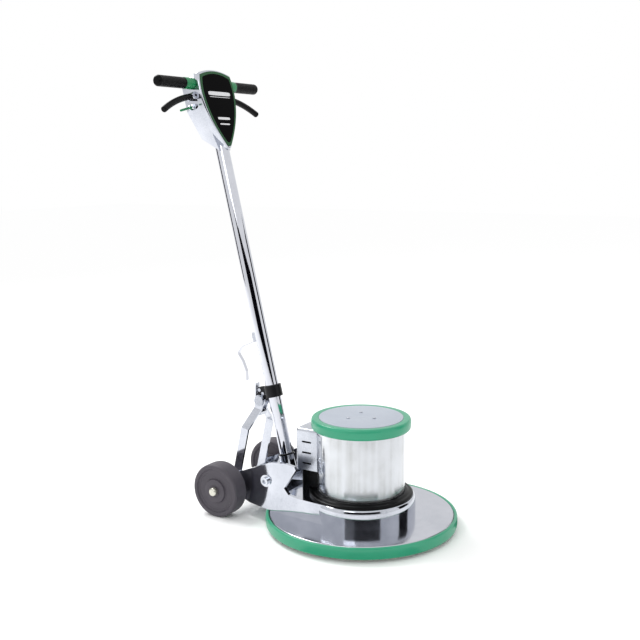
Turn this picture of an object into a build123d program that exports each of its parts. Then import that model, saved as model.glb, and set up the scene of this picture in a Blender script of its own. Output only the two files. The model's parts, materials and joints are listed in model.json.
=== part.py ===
from build123d import *
import os
from math import acos, cos, pi, radians, sin, sqrt, tan

# Single disc floor burnisher: a round deck with a motor and a planetary gear set on it, a cast arm with
# two wheels behind it, and a tilting handle held by a sliding collar and a brace.
# Millimetres, +Z up. The origin is on the spindle axis at floor level, -Y is the front of the deck,
# +Y the handle and wheels, and X runs along the axle.

os.makedirs("parts", exist_ok=True)

# ---------------------------------------------------------------- driving dimensions
PAD_R = 241.3  # 19 inch pad
PAD_T = 18.0
DRIVER_R = 235.0
DRIVER_TOP = 27.0
CLUTCH_R = 56.0
CLUTCH_TOP = 31.0

DECK_TOP = 41.0
DECK_WALL = 5.0
DECK_R = 253.0
DECK_LOW = 12.0
BUMPER_R = 262.5
BUMPER_LOW = 9.5

DRUM_R = 149.0
DRUM_TOP = 93.5
DRUM_SHOULDER_R = 142.5  # where the drum's flat top ends and its rounded shoulder starts
SHOULDER_LOW = 70.0
PLATE_T = 8.0
CASE_WALL = 10.0
ARM_DRAFT = 5.0
FLOOR_TOP = 50.0
WEB_Y = 160.0
REAR_NOTCH = 56.0  # height of the open space behind the axle, which the brace swings into

SHELL_R = 119.5
SHELL_WALL = 3.5
SHELL_TOP = 296.0
RING_R = 142.0
RING_TOP = 104.0
CAP_R = 114.3
CAP_TOP = 307.5
CAP_EDGE = 303.0
MOTOR_BUMPER_R = 135.6
MOTOR_BUMPER_LOW = 277.0

MODULE = 2.0
SUN_TEETH = 15
PLANET_TEETH = 27
RING_TEETH = 69
PRESSURE_ANGLE = radians(20)
BACKLASH = 0.22
PLANET_ORBIT = MODULE * (SUN_TEETH + PLANET_TEETH) / 2
PLANET_ANGLES = (90, 210, 330)
GEAR_LOW = 58.0
GEAR_TOP = 78.0
RING_GEAR_R = 80.0

SHAFT_R = 10.0
SPINDLE_R = 15.0
RUNNING = 0.05  # radial running clearance of a shaft in its bearing
STACK_LOW = 140.0
STACK_TOP = 222.0
END_PLATE_LOW = 258.0
END_PLATE_TOP = 266.0
TIE_ROD_R = 3.0
TIE_ROD_PCR = 108.0

LEAN = 13.42  # handle's lean from upright, degrees
PIVOT_Y = 233.0
PIVOT_Z = 120.0
PIVOT_BOLT_R = 6.0
PIVOT_FACE = 121.0
FOOT_HALF = 94.0
TUBE_R = 19.05  # 1.5 inch tube
TUBE_WALL = 1.8
TUBE_LOW = 20.0
TUBE_TOP = 1010.0
SOCKET_R = 21.5
SOCKET_TOP = 43.8

AXLE_Y = 379.8
AXLE_Z = 76.2
AXLE_R = 8.0
WHEEL_R = 76.2  # 6 inch wheel
WHEEL_W = 51.5
WHEEL_X = 137.0
AXLE_BOSS_R = 24.0
AXLE_BOSS_OUT = 104.0
AXLE_BOSS_IN = 82.0

BRACE_X = 62.0
BRACE_T = 7.0
BRACE_W = 24.0
BRACE_KNEE = 166.0
EAR_X = 13.0
COLLAR_T = 230.0  # collar's centre, measured up the handle from its pivot
COLLAR_H = 34.0
COLLAR_R = 25.0
COLLAR_FIT = 0.3
BRACE_PIN_OFF = 45.0  # brace pin's centre, behind the handle's axis
BRACE_PIN_T = 208.0
BRACE_PIN_R = 4.0
BRACE_EYE_R = 10.5
LEVER_PIN_OFF = 42.0
LEVER_PIN_T = 238.0
LEVER_PIN_R = 3.0
LUG_IN = 3.5
LUG_OUT = 8.5

GRIP_T = 1109.8
GRIP_R = 15.4
GRIP_END = 222.0
BAR_R = 11.0
HEAD_TOP = 1146.0
HEAD_SPLIT = 8.0  # distance in front of the handle's axis
HEAD_FRONT = 27.0
HEAD_BACK = -48.0
HEAD_WALL = 4.0
TRIGGER_X = 80.0
TRIGGER_T = 1076.0
TRIGGER_R = 9.0
TRIGGER_OFF = -5.0
TRIGGER_REACH = 132.0
TRIGGER_DROP = 43.0
SAFETY_X = 70.0
SAFETY_T = 1050.0
SAFETY_OFF = -20.0
GLAND_T = 1015.0
HEAD_SCREWS = ((-34, 1105), (34, 1105), (-34, 1050), (34, 1050))
PANEL_GROW = -5.0
PANEL_BORDER = 7.0
BOWL_FRONT = (67.0, 1142.0, 922.0, 25.0)  # half width, top, bottom, half width of its foot
BOWL_BACK = (60.0, 1134.0, 968.0, 20.0)
LEFT_COLLAR = (63.0, 112.0)
RIGHT_COLLAR = (63.0, 112.0)

HOOK_T = 390.0
HOOK_W = 12.0
HOOK_SHEET = 3.0
HOOK_BACK = TUBE_R + 8.0
HOOK_PATH = [
    (HOOK_BACK + 0.3, HOOK_T + 10),
    (HOOK_BACK + 0.3, HOOK_T - 14),
    (51, 371),
    (68, 369),
    (80, 362),
    (92, 352),
    (82, 327),
    (77, 297),
    (82, 270),
]
CLAMP_BOLT = (33.0, 226.0)

# ---------------------------------------------------------------- planes
DRAFT_SLOPE = tan(radians(ARM_DRAFT))
LEAN_SIN = sin(radians(LEAN))
LEAN_COS = cos(radians(LEAN))
PIVOT = (0, PIVOT_Y, PIVOT_Z)
TUBE = Plane(origin=PIVOT, x_dir=(1, 0, 0), z_dir=(0, LEAN_SIN, LEAN_COS))  # y is the rear, z up the handle
SIDE = Plane(origin=PIVOT, x_dir=(0, LEAN_COS, -LEAN_SIN), z_dir=(1, 0, 0))  # (rear, up the handle)
# (x, up the handle), towards the front
FACE = Plane(origin=PIVOT, x_dir=(1, 0, 0), z_dir=(0, -LEAN_COS, LEAN_SIN))

pin_y = PIVOT_Y + BRACE_PIN_T * LEAN_SIN + BRACE_PIN_OFF * LEAN_COS
pin_z = PIVOT_Z + BRACE_PIN_T * LEAN_COS - BRACE_PIN_OFF * LEAN_SIN
BRACE_L = sqrt((pin_y - AXLE_Y) ** 2 + (pin_z - AXLE_Z) ** 2)
brace_dy = (pin_y - AXLE_Y) / BRACE_L
brace_dz = (pin_z - AXLE_Z) / BRACE_L
# (x, up the brace)
BRACE = Plane(origin=(0, AXLE_Y, AXLE_Z), x_dir=(1, 0, 0), z_dir=(0, -brace_dz, brace_dy))
BRACE_EYE = Plane(origin=(0, pin_y, pin_z), x_dir=(0, 1, 0), z_dir=(1, 0, 0))
HOOK_FACE = Plane(origin=SIDE.from_local_coords((HOOK_BACK, HOOK_T, 0)), x_dir=(1, 0, 0), z_dir=SIDE.x_dir)
safety_fall = radians(12)
SAFETY_DIR = (-cos(safety_fall), -sin(safety_fall) * LEAN_SIN, -sin(safety_fall) * LEAN_COS)
AXLE = Plane(origin=(0, AXLE_Y, AXLE_Z), x_dir=(0, 1, 0), z_dir=(1, 0, 0))
PIVOT_LINE = Plane(origin=PIVOT, x_dir=(0, 1, 0), z_dir=(1, 0, 0))


# ---------------------------------------------------------------- shared shapes
def involute(angle):
    return tan(angle) - angle


def tooth_half_angle(teeth, radius, slack):
    """Half of a tooth's angle at a radius: an involute flank, with slack taken off each side."""
    base = MODULE * teeth / 2 * cos(PRESSURE_ANGLE)
    at = max(radius, base)
    spread = pi / (2 * teeth) + involute(PRESSURE_ANGLE) - involute(acos(base / at))
    return spread - slack / radius


def gear_points(teeth, root, tip, slack, first):
    """Outline of a gear: six points on each tooth, its first tooth centred at an angle in degrees."""
    radii = [root, (root + tip) / 2, tip]
    points = []
    for tooth in range(teeth):
        centre = radians(first) + 2 * pi * tooth / teeth
        for radius in radii:
            angle = centre - tooth_half_angle(teeth, radius, slack)
            points.append((radius * cos(angle), radius * sin(angle)))
        for radius in reversed(radii):
            angle = centre + tooth_half_angle(teeth, radius, slack)
            points.append((radius * cos(angle), radius * sin(angle)))
    return points


def tube_piece(plane, inner, outer, start, end):
    """A ring or tube about a plane's normal, from start to end along it."""
    with BuildPart() as piece:
        with BuildSketch(plane.offset(start)):
            Circle(outer)
            Circle(inner, mode=Mode.SUBTRACT)
        extrude(amount=end - start)
    return piece.part


def rod(plane, radius, start, end):
    """A solid rod along a plane's normal, from start to end."""
    with BuildPart() as piece:
        with BuildSketch(plane.offset(start)):
            Circle(radius)
        extrude(amount=end - start)
    return piece.part


def screw(plane, shank_r, head_r, length, head_h):
    """A pan head screw: its head stands on the plane, its shank goes down below it."""
    with BuildPart() as piece:
        with BuildSketch(plane.offset(-length)):
            Circle(shank_r)
        extrude(amount=length)
        with BuildSketch(plane):
            Circle(head_r)
        extrude(amount=head_h)
        rims = piece.edges().filter_by(GeomType.CIRCLE).group_by(Axis((0, 0, 0), plane.z_dir))
        fillet(rims[-1], head_h * 0.45)
    return piece.part


def polar_plane(radius, angle, height):
    """A level plane at a radius and an angle about the spindle axis."""
    return Plane(origin=(radius * cos(radians(angle)), radius * sin(radians(angle)), height))


# ---------------------------------------------------------------- pad, driver and clutch
with BuildPart() as polishing_pad:
    with BuildSketch():
        Circle(PAD_R)
    extrude(amount=PAD_T)
    fillet(polishing_pad.edges().filter_by(GeomType.CIRCLE).sort_by(SortBy.RADIUS)[-2:], 3)
polishing_pad.part.label = "polishing_pad"
export_step(polishing_pad.part, "parts/polishing_pad.step")

with BuildPart() as pad_driver:
    with BuildSketch(Plane.XY.offset(PAD_T)):
        Circle(DRIVER_R)
        Circle(32, mode=Mode.SUBTRACT)
        with PolarLocations(45, 3, start_angle=30):
            Circle(3.0, mode=Mode.SUBTRACT)
    extrude(amount=DRIVER_TOP - PAD_T)
pad_driver.part.label = "pad_driver"
export_step(pad_driver.part, "parts/pad_driver.step")

with BuildPart() as clutch_plate:
    with BuildSketch(Plane.XY.offset(DRIVER_TOP)):
        Circle(CLUTCH_R)
    extrude(amount=CLUTCH_TOP - DRIVER_TOP)
    with BuildSketch(Plane.XY.offset(19)):
        Circle(30)
    extrude(amount=DRIVER_TOP - 19)
    with BuildSketch(Plane.XY.offset(19)):
        Circle(SHAFT_R)
        with PolarLocations(45, 3, start_angle=30):
            Circle(3.0)
    extrude(amount=CLUTCH_TOP - 19, mode=Mode.SUBTRACT)
clutch_plate.part.label = "clutch_plate"
export_step(clutch_plate.part, "parts/clutch_plate.step")

clutch_screws = Compound(
    label="clutch_screws",
    children=[
        rod(polar_plane(45, angle, 0), 3.0, PAD_T + 1.0, CLUTCH_TOP) for angle in (30, 150, 270)
    ],
)
export_step(clutch_screws, "parts/clutch_screws.step")

# ---------------------------------------------------------------- planetary gear set
with BuildPart() as planet_carrier:
    with BuildSketch(Plane.XY.offset(50.5)):
        Circle(57)
    extrude(amount=6.5)
    with BuildSketch(Plane.XY.offset(CLUTCH_TOP)):
        Circle(SPINDLE_R)
    extrude(amount=50.5 - CLUTCH_TOP)
    with BuildSketch(Plane.XY.offset(19)):
        Circle(SHAFT_R)
    extrude(amount=CLUTCH_TOP - 19)
    with BuildSketch(Plane.XY.offset(50.5)):
        with PolarLocations(PLANET_ORBIT, 3, start_angle=PLANET_ANGLES[0]):
            Circle(5)
    extrude(amount=6.5, mode=Mode.SUBTRACT)
planet_carrier.part.label = "planet_carrier"
export_step(planet_carrier.part, "parts/planet_carrier.step")

planet_pins = Compound(
    label="planet_pins",
    children=[rod(polar_plane(PLANET_ORBIT, angle, 0), 5.0, 50.5, 80.0) for angle in PLANET_ANGLES],
)
export_step(planet_pins, "parts/planet_pins.step")

planet_r = MODULE * PLANET_TEETH / 2
for number, angle in enumerate(PLANET_ANGLES, start=1):
    with BuildPart() as planet:
        with BuildSketch(polar_plane(PLANET_ORBIT, angle, GEAR_LOW)):
            with BuildLine():
                teeth = gear_points(PLANET_TEETH, planet_r - 2.5, planet_r + 1.7, BACKLASH, angle)
                Polyline(*teeth, close=True)
            make_face()
            Circle(5 + RUNNING, mode=Mode.SUBTRACT)
        extrude(amount=GEAR_TOP - GEAR_LOW)
    planet.part.label = f"planet_gear_{number}"
    export_step(planet.part, f"parts/planet_gear_{number}.step")

ring_r = MODULE * RING_TEETH / 2
with BuildPart() as ring_gear:
    with BuildSketch(Plane.XY.offset(GEAR_LOW - 3)):
        Circle(RING_GEAR_R)
        with BuildLine():
            teeth = gear_points(RING_TEETH, ring_r - 1.7, ring_r + 2.5, -BACKLASH, PLANET_ANGLES[0])
            Polyline(*teeth, close=True)
        make_face(mode=Mode.SUBTRACT)
    extrude(amount=GEAR_TOP - GEAR_LOW + 6)
ring_gear.part.label = "ring_gear"
export_step(ring_gear.part, "parts/ring_gear.step")

# ---------------------------------------------------------------- rotor
sun_r = MODULE * SUN_TEETH / 2
with BuildPart() as rotor_shaft:
    with BuildSketch(Plane.XY.offset(GEAR_LOW - 0.2)):
        with BuildLine():
            teeth = gear_points(SUN_TEETH, sun_r - 2.5, sun_r + 1.7, BACKLASH, PLANET_ANGLES[0])
            Polyline(*teeth, close=True)
        make_face()
    extrude(amount=GEAR_TOP - GEAR_LOW + 2)
    with BuildSketch(Plane.XY.offset(GEAR_TOP)):
        Circle(SHAFT_R)
    extrude(amount=END_PLATE_TOP - 2 - GEAR_TOP)
rotor_shaft.part.label = "rotor_shaft"
export_step(rotor_shaft.part, "parts/rotor_shaft.step")

with BuildPart() as rotor_core:
    with BuildSketch(Plane.XY.offset(STACK_LOW)):
        Circle(50.3)
        Circle(SHAFT_R, mode=Mode.SUBTRACT)
        with PolarLocations(43, 20):
            Circle(2.4, mode=Mode.SUBTRACT)
    extrude(amount=STACK_TOP - STACK_LOW)
rotor_core.part.label = "rotor_core"
export_step(rotor_core.part, "parts/rotor_core.step")

with BuildPart() as cooling_fan:
    with BuildSketch(Plane.XY.offset(239.5)):
        Circle(34)
        Circle(SHAFT_R, mode=Mode.SUBTRACT)
    extrude(amount=3)
    with BuildSketch(Plane.XY.offset(239.5)):
        with PolarLocations(56, 9):
            Rectangle(54, 3.2)
    extrude(amount=9)
    with BuildSketch(Plane.XY.offset(239.5)):
        Circle(17)
        Circle(SHAFT_R, mode=Mode.SUBTRACT)
    extrude(amount=9)
cooling_fan.part.label = "cooling_fan"
export_step(cooling_fan.part, "parts/cooling_fan.step")

# ---------------------------------------------------------------- deck
with BuildPart() as deck:
    with BuildSketch(Plane.XY.offset(DECK_LOW)):
        Circle(DECK_R)
    extrude(amount=DECK_TOP - DECK_LOW)
    fillet(deck.edges().group_by(Axis.Z)[-1], 3)
    with BuildSketch(Plane.XY.offset(DECK_LOW)):
        Circle(DECK_R - DECK_WALL)
    extrude(amount=DECK_TOP - DECK_WALL - DECK_LOW, mode=Mode.SUBTRACT)
    with BuildSketch(Plane.XY.offset(DECK_LOW)):
        Circle(42)
        with PolarLocations(120, 6, start_angle=30):
            Circle(4)
    extrude(amount=DECK_TOP - DECK_LOW, mode=Mode.SUBTRACT)
deck.part.label = "deck"
export_step(deck.part, "parts/deck.step")

with BuildPart() as deck_bumper:
    with BuildSketch(Plane.XZ):
        with BuildLine():
            Polyline(
                (DECK_R, BUMPER_LOW),
                (BUMPER_R, BUMPER_LOW),
                (BUMPER_R, DECK_TOP),
                (DECK_R, DECK_TOP),
                close=True,
            )
        make_face()
        fillet(vertices().sort_by(Axis.X)[-2:], 5.5)
    revolve(axis=Axis.Z)
deck_bumper.part.label = "deck_bumper"
export_step(deck_bumper.part, "parts/deck_bumper.step")

# ---------------------------------------------------------------- gear housing: drum, arm and cheeks
ARM_PLAN = [
    (147.5, 0),
    (131, 207),
    (101, 318),
    (101, 410),
    (-101, 410),
    (-101, 318),
    (-131, 207),
    (-147.5, 0),
]
ARM_SIDE = [
    (-20, DECK_TOP),
    (-20, DRUM_TOP),
    (122, DRUM_TOP),
    (152, 97),
    (168, 112),
    (131, 168),
    (136, 177),
    (168, 180),
    (218, 174),
    (253, 158),
    (320, 130),
    (AXLE_Y + 12, 98),
    (AXLE_Y + 12, 55),
    (AXLE_Y - 20, 54),
    (300, DECK_TOP),
]


def arm_outline(inset):
    """Plan of the arm: its sides close in from the drum's width to the gap between the wheels."""
    with BuildSketch(Plane.XY) as plan:
        with BuildLine():
            Polyline(*ARM_PLAN, close=True)
        make_face()
        fillet([corner for corner in plan.vertices() if abs(corner.Y - ARM_PLAN[1][1]) < 1], 200)
        fillet([corner for corner in plan.vertices() if abs(corner.Y - ARM_PLAN[2][1]) < 1], 120)
        if inset:
            offset(amount=-inset, kind=Kind.INTERSECTION)
    return plan.sketch


with BuildPart() as gear_housing:
    with BuildSketch(Plane.XY.offset(DECK_TOP)):
        add(arm_outline(0))
    extrude(amount=145, taper=ARM_DRAFT)
    with BuildSketch(Plane.YZ.offset(-200)):
        with BuildLine():
            Polyline(*ARM_SIDE, close=True)
        make_face()
        fillet(vertices().group_by(Axis.Y)[-1], 22)
        with Locations((AXLE_Y, AXLE_Z)):
            Circle(AXLE_BOSS_R)
    extrude(amount=400, mode=Mode.INTERSECT)
    with BuildSketch(Plane.XY.offset(FLOOR_TOP)):
        add(arm_outline(CASE_WALL + (FLOOR_TOP - DECK_TOP) * DRAFT_SLOPE))
        with Locations((0, -200 + WEB_Y + 10)):
            Rectangle(400, 400, mode=Mode.SUBTRACT)
    extrude(amount=145, taper=ARM_DRAFT, mode=Mode.SUBTRACT)
    with BuildSketch(Plane.XY.offset(DRUM_TOP)):
        add(arm_outline(CASE_WALL + (DRUM_TOP - DECK_TOP) * DRAFT_SLOPE))
    extrude(amount=100, taper=ARM_DRAFT, mode=Mode.SUBTRACT)
    with BuildSketch(Plane.XY.offset(DECK_TOP)):
        with Locations((0, 395)):
            Rectangle(2 * (AXLE_BOSS_IN + 4), 100)
    extrude(amount=REAR_NOTCH, mode=Mode.SUBTRACT)
    with BuildSketch(Plane.XZ):
        with BuildLine():
            Polyline(
                (DRUM_SHOULDER_R, DRUM_TOP),
                (0, DRUM_TOP),
                (0, DECK_TOP),
                (DRUM_R, DECK_TOP),
                (DRUM_R, SHOULDER_LOW),
            )
            EllipticalCenterArc(
                (DRUM_SHOULDER_R, SHOULDER_LOW),
                DRUM_R - DRUM_SHOULDER_R,
                DRUM_TOP - SHOULDER_LOW,
                start_angle=0,
                arc_size=90,
            )
        make_face()
    revolve(axis=Axis.Z)
    # hollow under the top plate, with a round wall left for the ring gear
    with BuildSketch(Plane.XY.offset(DECK_TOP)):
        Circle(DRUM_R - CASE_WALL)
        add(arm_outline(CASE_WALL + 4))
        with Locations((0, 200 + WEB_Y)):
            Rectangle(400, 400, mode=Mode.SUBTRACT)
        Circle(RING_GEAR_R + 12, mode=Mode.SUBTRACT)
    extrude(amount=DRUM_TOP - PLATE_T - DECK_TOP, mode=Mode.SUBTRACT)
    with BuildSketch(Plane.XY.offset(DECK_TOP)):
        Circle(RING_GEAR_R)
    extrude(amount=DRUM_TOP - PLATE_T - DECK_TOP, mode=Mode.SUBTRACT)
    with BuildSketch(Plane.XY.offset(DECK_TOP)):
        Circle(RING_GEAR_R + 12)
    extrude(amount=8, mode=Mode.SUBTRACT)
    # bosses for the deck's bolts
    with BuildSketch(Plane.XY.offset(DECK_TOP)):
        with PolarLocations(120, 6, start_angle=30):
            Circle(9)
    extrude(amount=DRUM_TOP - 2 - DECK_TOP)
    # seat of the lower motor bearing
    with BuildSketch(Plane.XY.offset(DRUM_TOP - PLATE_T)):
        Circle(31)
    extrude(amount=104 - DRUM_TOP + PLATE_T)
    with BuildSketch(Plane.XY.offset(DRUM_TOP - PLATE_T)):
        Circle(14)
    extrude(amount=30, mode=Mode.SUBTRACT)
    with BuildSketch(Plane.XY.offset(90)):
        Circle(23.5)
    extrude(amount=20, mode=Mode.SUBTRACT)
    # threaded holes
    with BuildSketch(Plane.XY.offset(DECK_TOP)):
        with PolarLocations(120, 6, start_angle=30):
            Circle(4)
        with PolarLocations(86, 6):
            Circle(4)
    extrude(amount=24, mode=Mode.SUBTRACT)
    with BuildSketch(Plane.XY.offset(DRUM_TOP - PLATE_T)):
        with PolarLocations(TIE_ROD_PCR, 4, start_angle=45):
            Circle(TIE_ROD_R)
    extrude(amount=PLATE_T, mode=Mode.SUBTRACT)
    # bosses and bores of the handle's pivot and of the axle, on both cheeks
    for side in (-1, 1):
        with BuildSketch(PIVOT_LINE.offset(side * (FOOT_HALF + 0.3))):
            Circle(17)
        extrude(amount=side * (PIVOT_FACE - FOOT_HALF - 0.3))
        with BuildSketch(AXLE.offset(side * AXLE_BOSS_IN)):
            Circle(19)
        extrude(amount=side * (AXLE_BOSS_OUT - AXLE_BOSS_IN))
    with BuildSketch(PIVOT_LINE.offset(-200)):
        Circle(PIVOT_BOLT_R)
    extrude(amount=400, mode=Mode.SUBTRACT)
    with BuildSketch(AXLE.offset(-200)):
        Circle(AXLE_R)
    extrude(amount=400, mode=Mode.SUBTRACT)
gear_housing.part.label = "gear_housing"
export_step(gear_housing.part, "parts/gear_housing.step")

with BuildPart() as gear_cover:
    with BuildSketch(Plane.XY.offset(DECK_TOP)):
        Circle(RING_GEAR_R + 12)
    extrude(amount=8)
    with BuildSketch(Plane.XY.offset(31.8)):
        Circle(39)
    extrude(amount=DECK_TOP - 31.8)
    with BuildSketch(Plane.XY.offset(32.5)):
        Circle(31)
    extrude(amount=20, mode=Mode.SUBTRACT)
    with BuildSketch(Plane.XY.offset(31)):
        Circle(24)
    extrude(amount=3, mode=Mode.SUBTRACT)
    with BuildSketch(Plane.XY.offset(DECK_TOP)):
        with PolarLocations(86, 6):
            Circle(4)
    extrude(amount=8, mode=Mode.SUBTRACT)
gear_cover.part.label = "gear_cover"
export_step(gear_cover.part, "parts/gear_cover.step")

casting_screws = []
for k in range(6):
    casting_screws.append(rod(polar_plane(86, 60 * k, 0), 4.0, DECK_TOP, DECK_TOP + 24))
    seat = Plane(origin=polar_plane(120, 30 + 60 * k, 36).origin, z_dir=(0, 0, -1))
    deck_screw = screw(seat, 4.0, 7.0, 24, 4.5)
    casting_screws.append(deck_screw)
casting_screws = Compound(label="casting_screws", children=casting_screws)
export_step(casting_screws, "parts/casting_screws.step")

ball_bearings = Compound(
    label="ball_bearings",
    children=[
        tube_piece(Plane.XY, SPINDLE_R + RUNNING, 31, 32.5, 48.5),
        tube_piece(Plane.XY, SHAFT_R + RUNNING, 23.5, 90, 104),
        tube_piece(Plane.XY, SHAFT_R + RUNNING, 23.5, 252, END_PLATE_TOP),
    ],
)
export_step(ball_bearings, "parts/ball_bearings.step")

# ---------------------------------------------------------------- motor
with BuildPart() as motor_seal_ring:
    with BuildSketch(Plane.XZ):
        with BuildLine():
            Polyline(
                (SHELL_R, DRUM_TOP),
                (RING_R, DRUM_TOP),
                (RING_R, 98),
                (138, 100.5),
                (131, 101),
                (128, 102.5),
                (125, RING_TOP),
                (SHELL_R, RING_TOP),
                close=True,
            )
        make_face()
    revolve(axis=Axis.Z)
motor_seal_ring.part.label = "motor_seal_ring"
export_step(motor_seal_ring.part, "parts/motor_seal_ring.step")

with BuildPart() as motor_shell:
    with BuildSketch(Plane.XY.offset(DRUM_TOP)):
        Circle(SHELL_R)
        Circle(SHELL_R - SHELL_WALL, mode=Mode.SUBTRACT)
    extrude(amount=SHELL_TOP - DRUM_TOP)
motor_shell.part.label = "motor_shell"
export_step(motor_shell.part, "parts/motor_shell.step")

with BuildPart() as stator_core:
    with BuildSketch(Plane.XY.offset(STACK_LOW)):
        Circle(SHELL_R - SHELL_WALL)
        Circle(51, mode=Mode.SUBTRACT)
        with PolarLocations(66, 24):
            Rectangle(22, 7, mode=Mode.SUBTRACT)
        with PolarLocations(TIE_ROD_PCR, 4, start_angle=45):
            Circle(TIE_ROD_R + 0.3, mode=Mode.SUBTRACT)
    extrude(amount=STACK_TOP - STACK_LOW)
stator_core.part.label = "stator_core"
export_step(stator_core.part, "parts/stator_core.step")

stator_windings = Compound(
    label="stator_windings",
    children=[
        tube_piece(Plane.XY, 56, 92, STACK_LOW - 15, STACK_LOW),
        tube_piece(Plane.XY, 56, 92, STACK_TOP, STACK_TOP + 15),
    ],
)
export_step(stator_windings, "parts/stator_windings.step")

with BuildPart() as motor_end_plate:
    with BuildSketch(Plane.XY.offset(END_PLATE_LOW)):
        Circle(SHELL_R - SHELL_WALL)
        with PolarLocations(72, 8):
            Circle(10, mode=Mode.SUBTRACT)
    extrude(amount=END_PLATE_TOP - END_PLATE_LOW)
    with BuildSketch(Plane.XY.offset(250)):
        Circle(30)
    extrude(amount=END_PLATE_LOW - 250)
    with BuildSketch(Plane.XY.offset(END_PLATE_TOP)):
        with PolarLocations(40, 3, start_angle=30):
            Circle(5)
    extrude(amount=SHELL_TOP - END_PLATE_TOP)
    with BuildSketch(Plane.XY.offset(252)):
        Circle(23.5)
    extrude(amount=20, mode=Mode.SUBTRACT)
    with BuildSketch(Plane.XY.offset(249)):
        Circle(16)
    extrude(amount=5, mode=Mode.SUBTRACT)
    with BuildSketch(Plane.XY.offset(SHELL_TOP - 16)):
        with PolarLocations(40, 3, start_angle=30):
            Circle(2.5)
    extrude(amount=16, mode=Mode.SUBTRACT)
    with BuildSketch(Plane.XY.offset(END_PLATE_LOW)):
        with PolarLocations(TIE_ROD_PCR, 4, start_angle=45):
            Circle(TIE_ROD_R)
    extrude(amount=10, mode=Mode.SUBTRACT)
motor_end_plate.part.label = "motor_end_plate"
export_step(motor_end_plate.part, "parts/motor_end_plate.step")

motor_tie_rods = Compound(
    label="motor_tie_rods",
    children=[
        screw(polar_plane(TIE_ROD_PCR, angle, END_PLATE_TOP), TIE_ROD_R, 5.5, END_PLATE_TOP - 86, 4.0)
        for angle in (45, 135, 225, 315)
    ],
)
export_step(motor_tie_rods, "parts/motor_tie_rods.step")

with BuildPart() as motor_top_cover:
    with BuildSketch(Plane.XY.offset(SHELL_TOP)):
        Circle(SHELL_R)
    extrude(amount=CAP_EDGE - SHELL_TOP)
    with BuildSketch(Plane.XY.offset(CAP_EDGE)):
        Circle(CAP_R)
    extrude(amount=CAP_TOP - CAP_EDGE)
    fillet(motor_top_cover.edges().group_by(Axis.Z)[-1], 1.5)
    with BuildSketch(Plane.XY.offset(SHELL_TOP)):
        Circle(105)
        with PolarLocations(40, 3, start_angle=30):
            Circle(8, mode=Mode.SUBTRACT)
    extrude(amount=CAP_TOP - 3 - SHELL_TOP, mode=Mode.SUBTRACT)
    with BuildSketch(Plane.XY.offset(SHELL_TOP)):
        with PolarLocations(40, 3, start_angle=30):
            Circle(2.5)
    extrude(amount=20, mode=Mode.SUBTRACT)
motor_top_cover.part.label = "motor_top_cover"
export_step(motor_top_cover.part, "parts/motor_top_cover.step")

with BuildPart() as motor_bumper:
    with BuildSketch(Plane.XZ):
        with BuildLine():
            Polyline(
                (SHELL_R, MOTOR_BUMPER_LOW),
                (MOTOR_BUMPER_R, MOTOR_BUMPER_LOW),
                (MOTOR_BUMPER_R, CAP_TOP - 0.5),
                (CAP_R, CAP_TOP - 0.5),
                (CAP_R, CAP_EDGE),
                (SHELL_R, CAP_EDGE),
                close=True,
            )
        make_face()
        fillet(vertices().sort_by(Axis.X)[-2:], 5)
    revolve(axis=Axis.Z)
motor_bumper.part.label = "motor_bumper"
export_step(motor_bumper.part, "parts/motor_bumper.step")

# ---------------------------------------------------------------- capacitor box behind the motor
BOX_X = 75.0
BOX_Y = 165.0
BOX_LOW = 156.0
BOX_TOP = 272.0
SHEET = 1.6
FLANGE_SPAN = (127.5, 147.0)
BOX_SCREWS = ((142.5, 200.0), (142.5, 248.0), (37.5, 200.0), (37.5, 248.0))



def box_body(inset):
    """Capacitor box as a solid, its rear corners and top edges rounded, smaller all round by inset."""
    with BuildPart() as body:
        with BuildSketch(Plane.XY.offset(BOX_LOW + inset)):
            with Locations((0, BOX_Y - inset - 55)):
                Rectangle(2 * (BOX_X - inset), 110)
            fillet(vertices().group_by(Axis.Y)[-1], 12 - inset)
        extrude(amount=BOX_TOP - BOX_LOW - 2 * inset)
        fillet(body.edges().group_by(Axis.Z)[-1].group_by(Axis.Y)[1:], 9 - inset)
    return body.part


with BuildPart() as capacitor_box:
    add(box_body(0))
    add(box_body(SHEET), mode=Mode.SUBTRACT)
    with BuildSketch(Plane.XY.offset(BOX_LOW - 1)):
        Circle(SHELL_R)
        with Locations((0, -100)):
            Rectangle(400, 300)
    extrude(amount=BOX_TOP, mode=Mode.SUBTRACT)
    with BuildSketch(Plane.YZ.offset(-100)):
        for height in (175, 205, 235):
            with Locations((128, height)):
                SlotOverall(30, 5)
    extrude(amount=200, mode=Mode.SUBTRACT)
    with BuildSketch(Plane.XY.offset(BOX_LOW + 4)):
        for start in (FLANGE_SPAN[0], 180 - FLANGE_SPAN[1]):
            span = FLANGE_SPAN[1] - FLANGE_SPAN[0]
            with BuildLine():
                inner = CenterArc((0, 0), SHELL_R, start, span)
                outer = CenterArc((0, 0), SHELL_R + SHEET, start, span)
                Line(inner @ 0, outer @ 0)
                Line(inner @ 1, outer @ 1)
            make_face()
    extrude(amount=BOX_TOP - BOX_LOW - 12)
    for angle, height in BOX_SCREWS:
        spot = polar_plane(SHELL_R + SHEET, angle, height).origin
        with BuildSketch(Plane(origin=spot, z_dir=(cos(radians(angle)), sin(radians(angle)), 0))):
            Circle(2.5)
        extrude(amount=-4, mode=Mode.SUBTRACT)
capacitor_box.part.label = "capacitor_box"
export_step(capacitor_box.part, "parts/capacitor_box.step")

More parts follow.
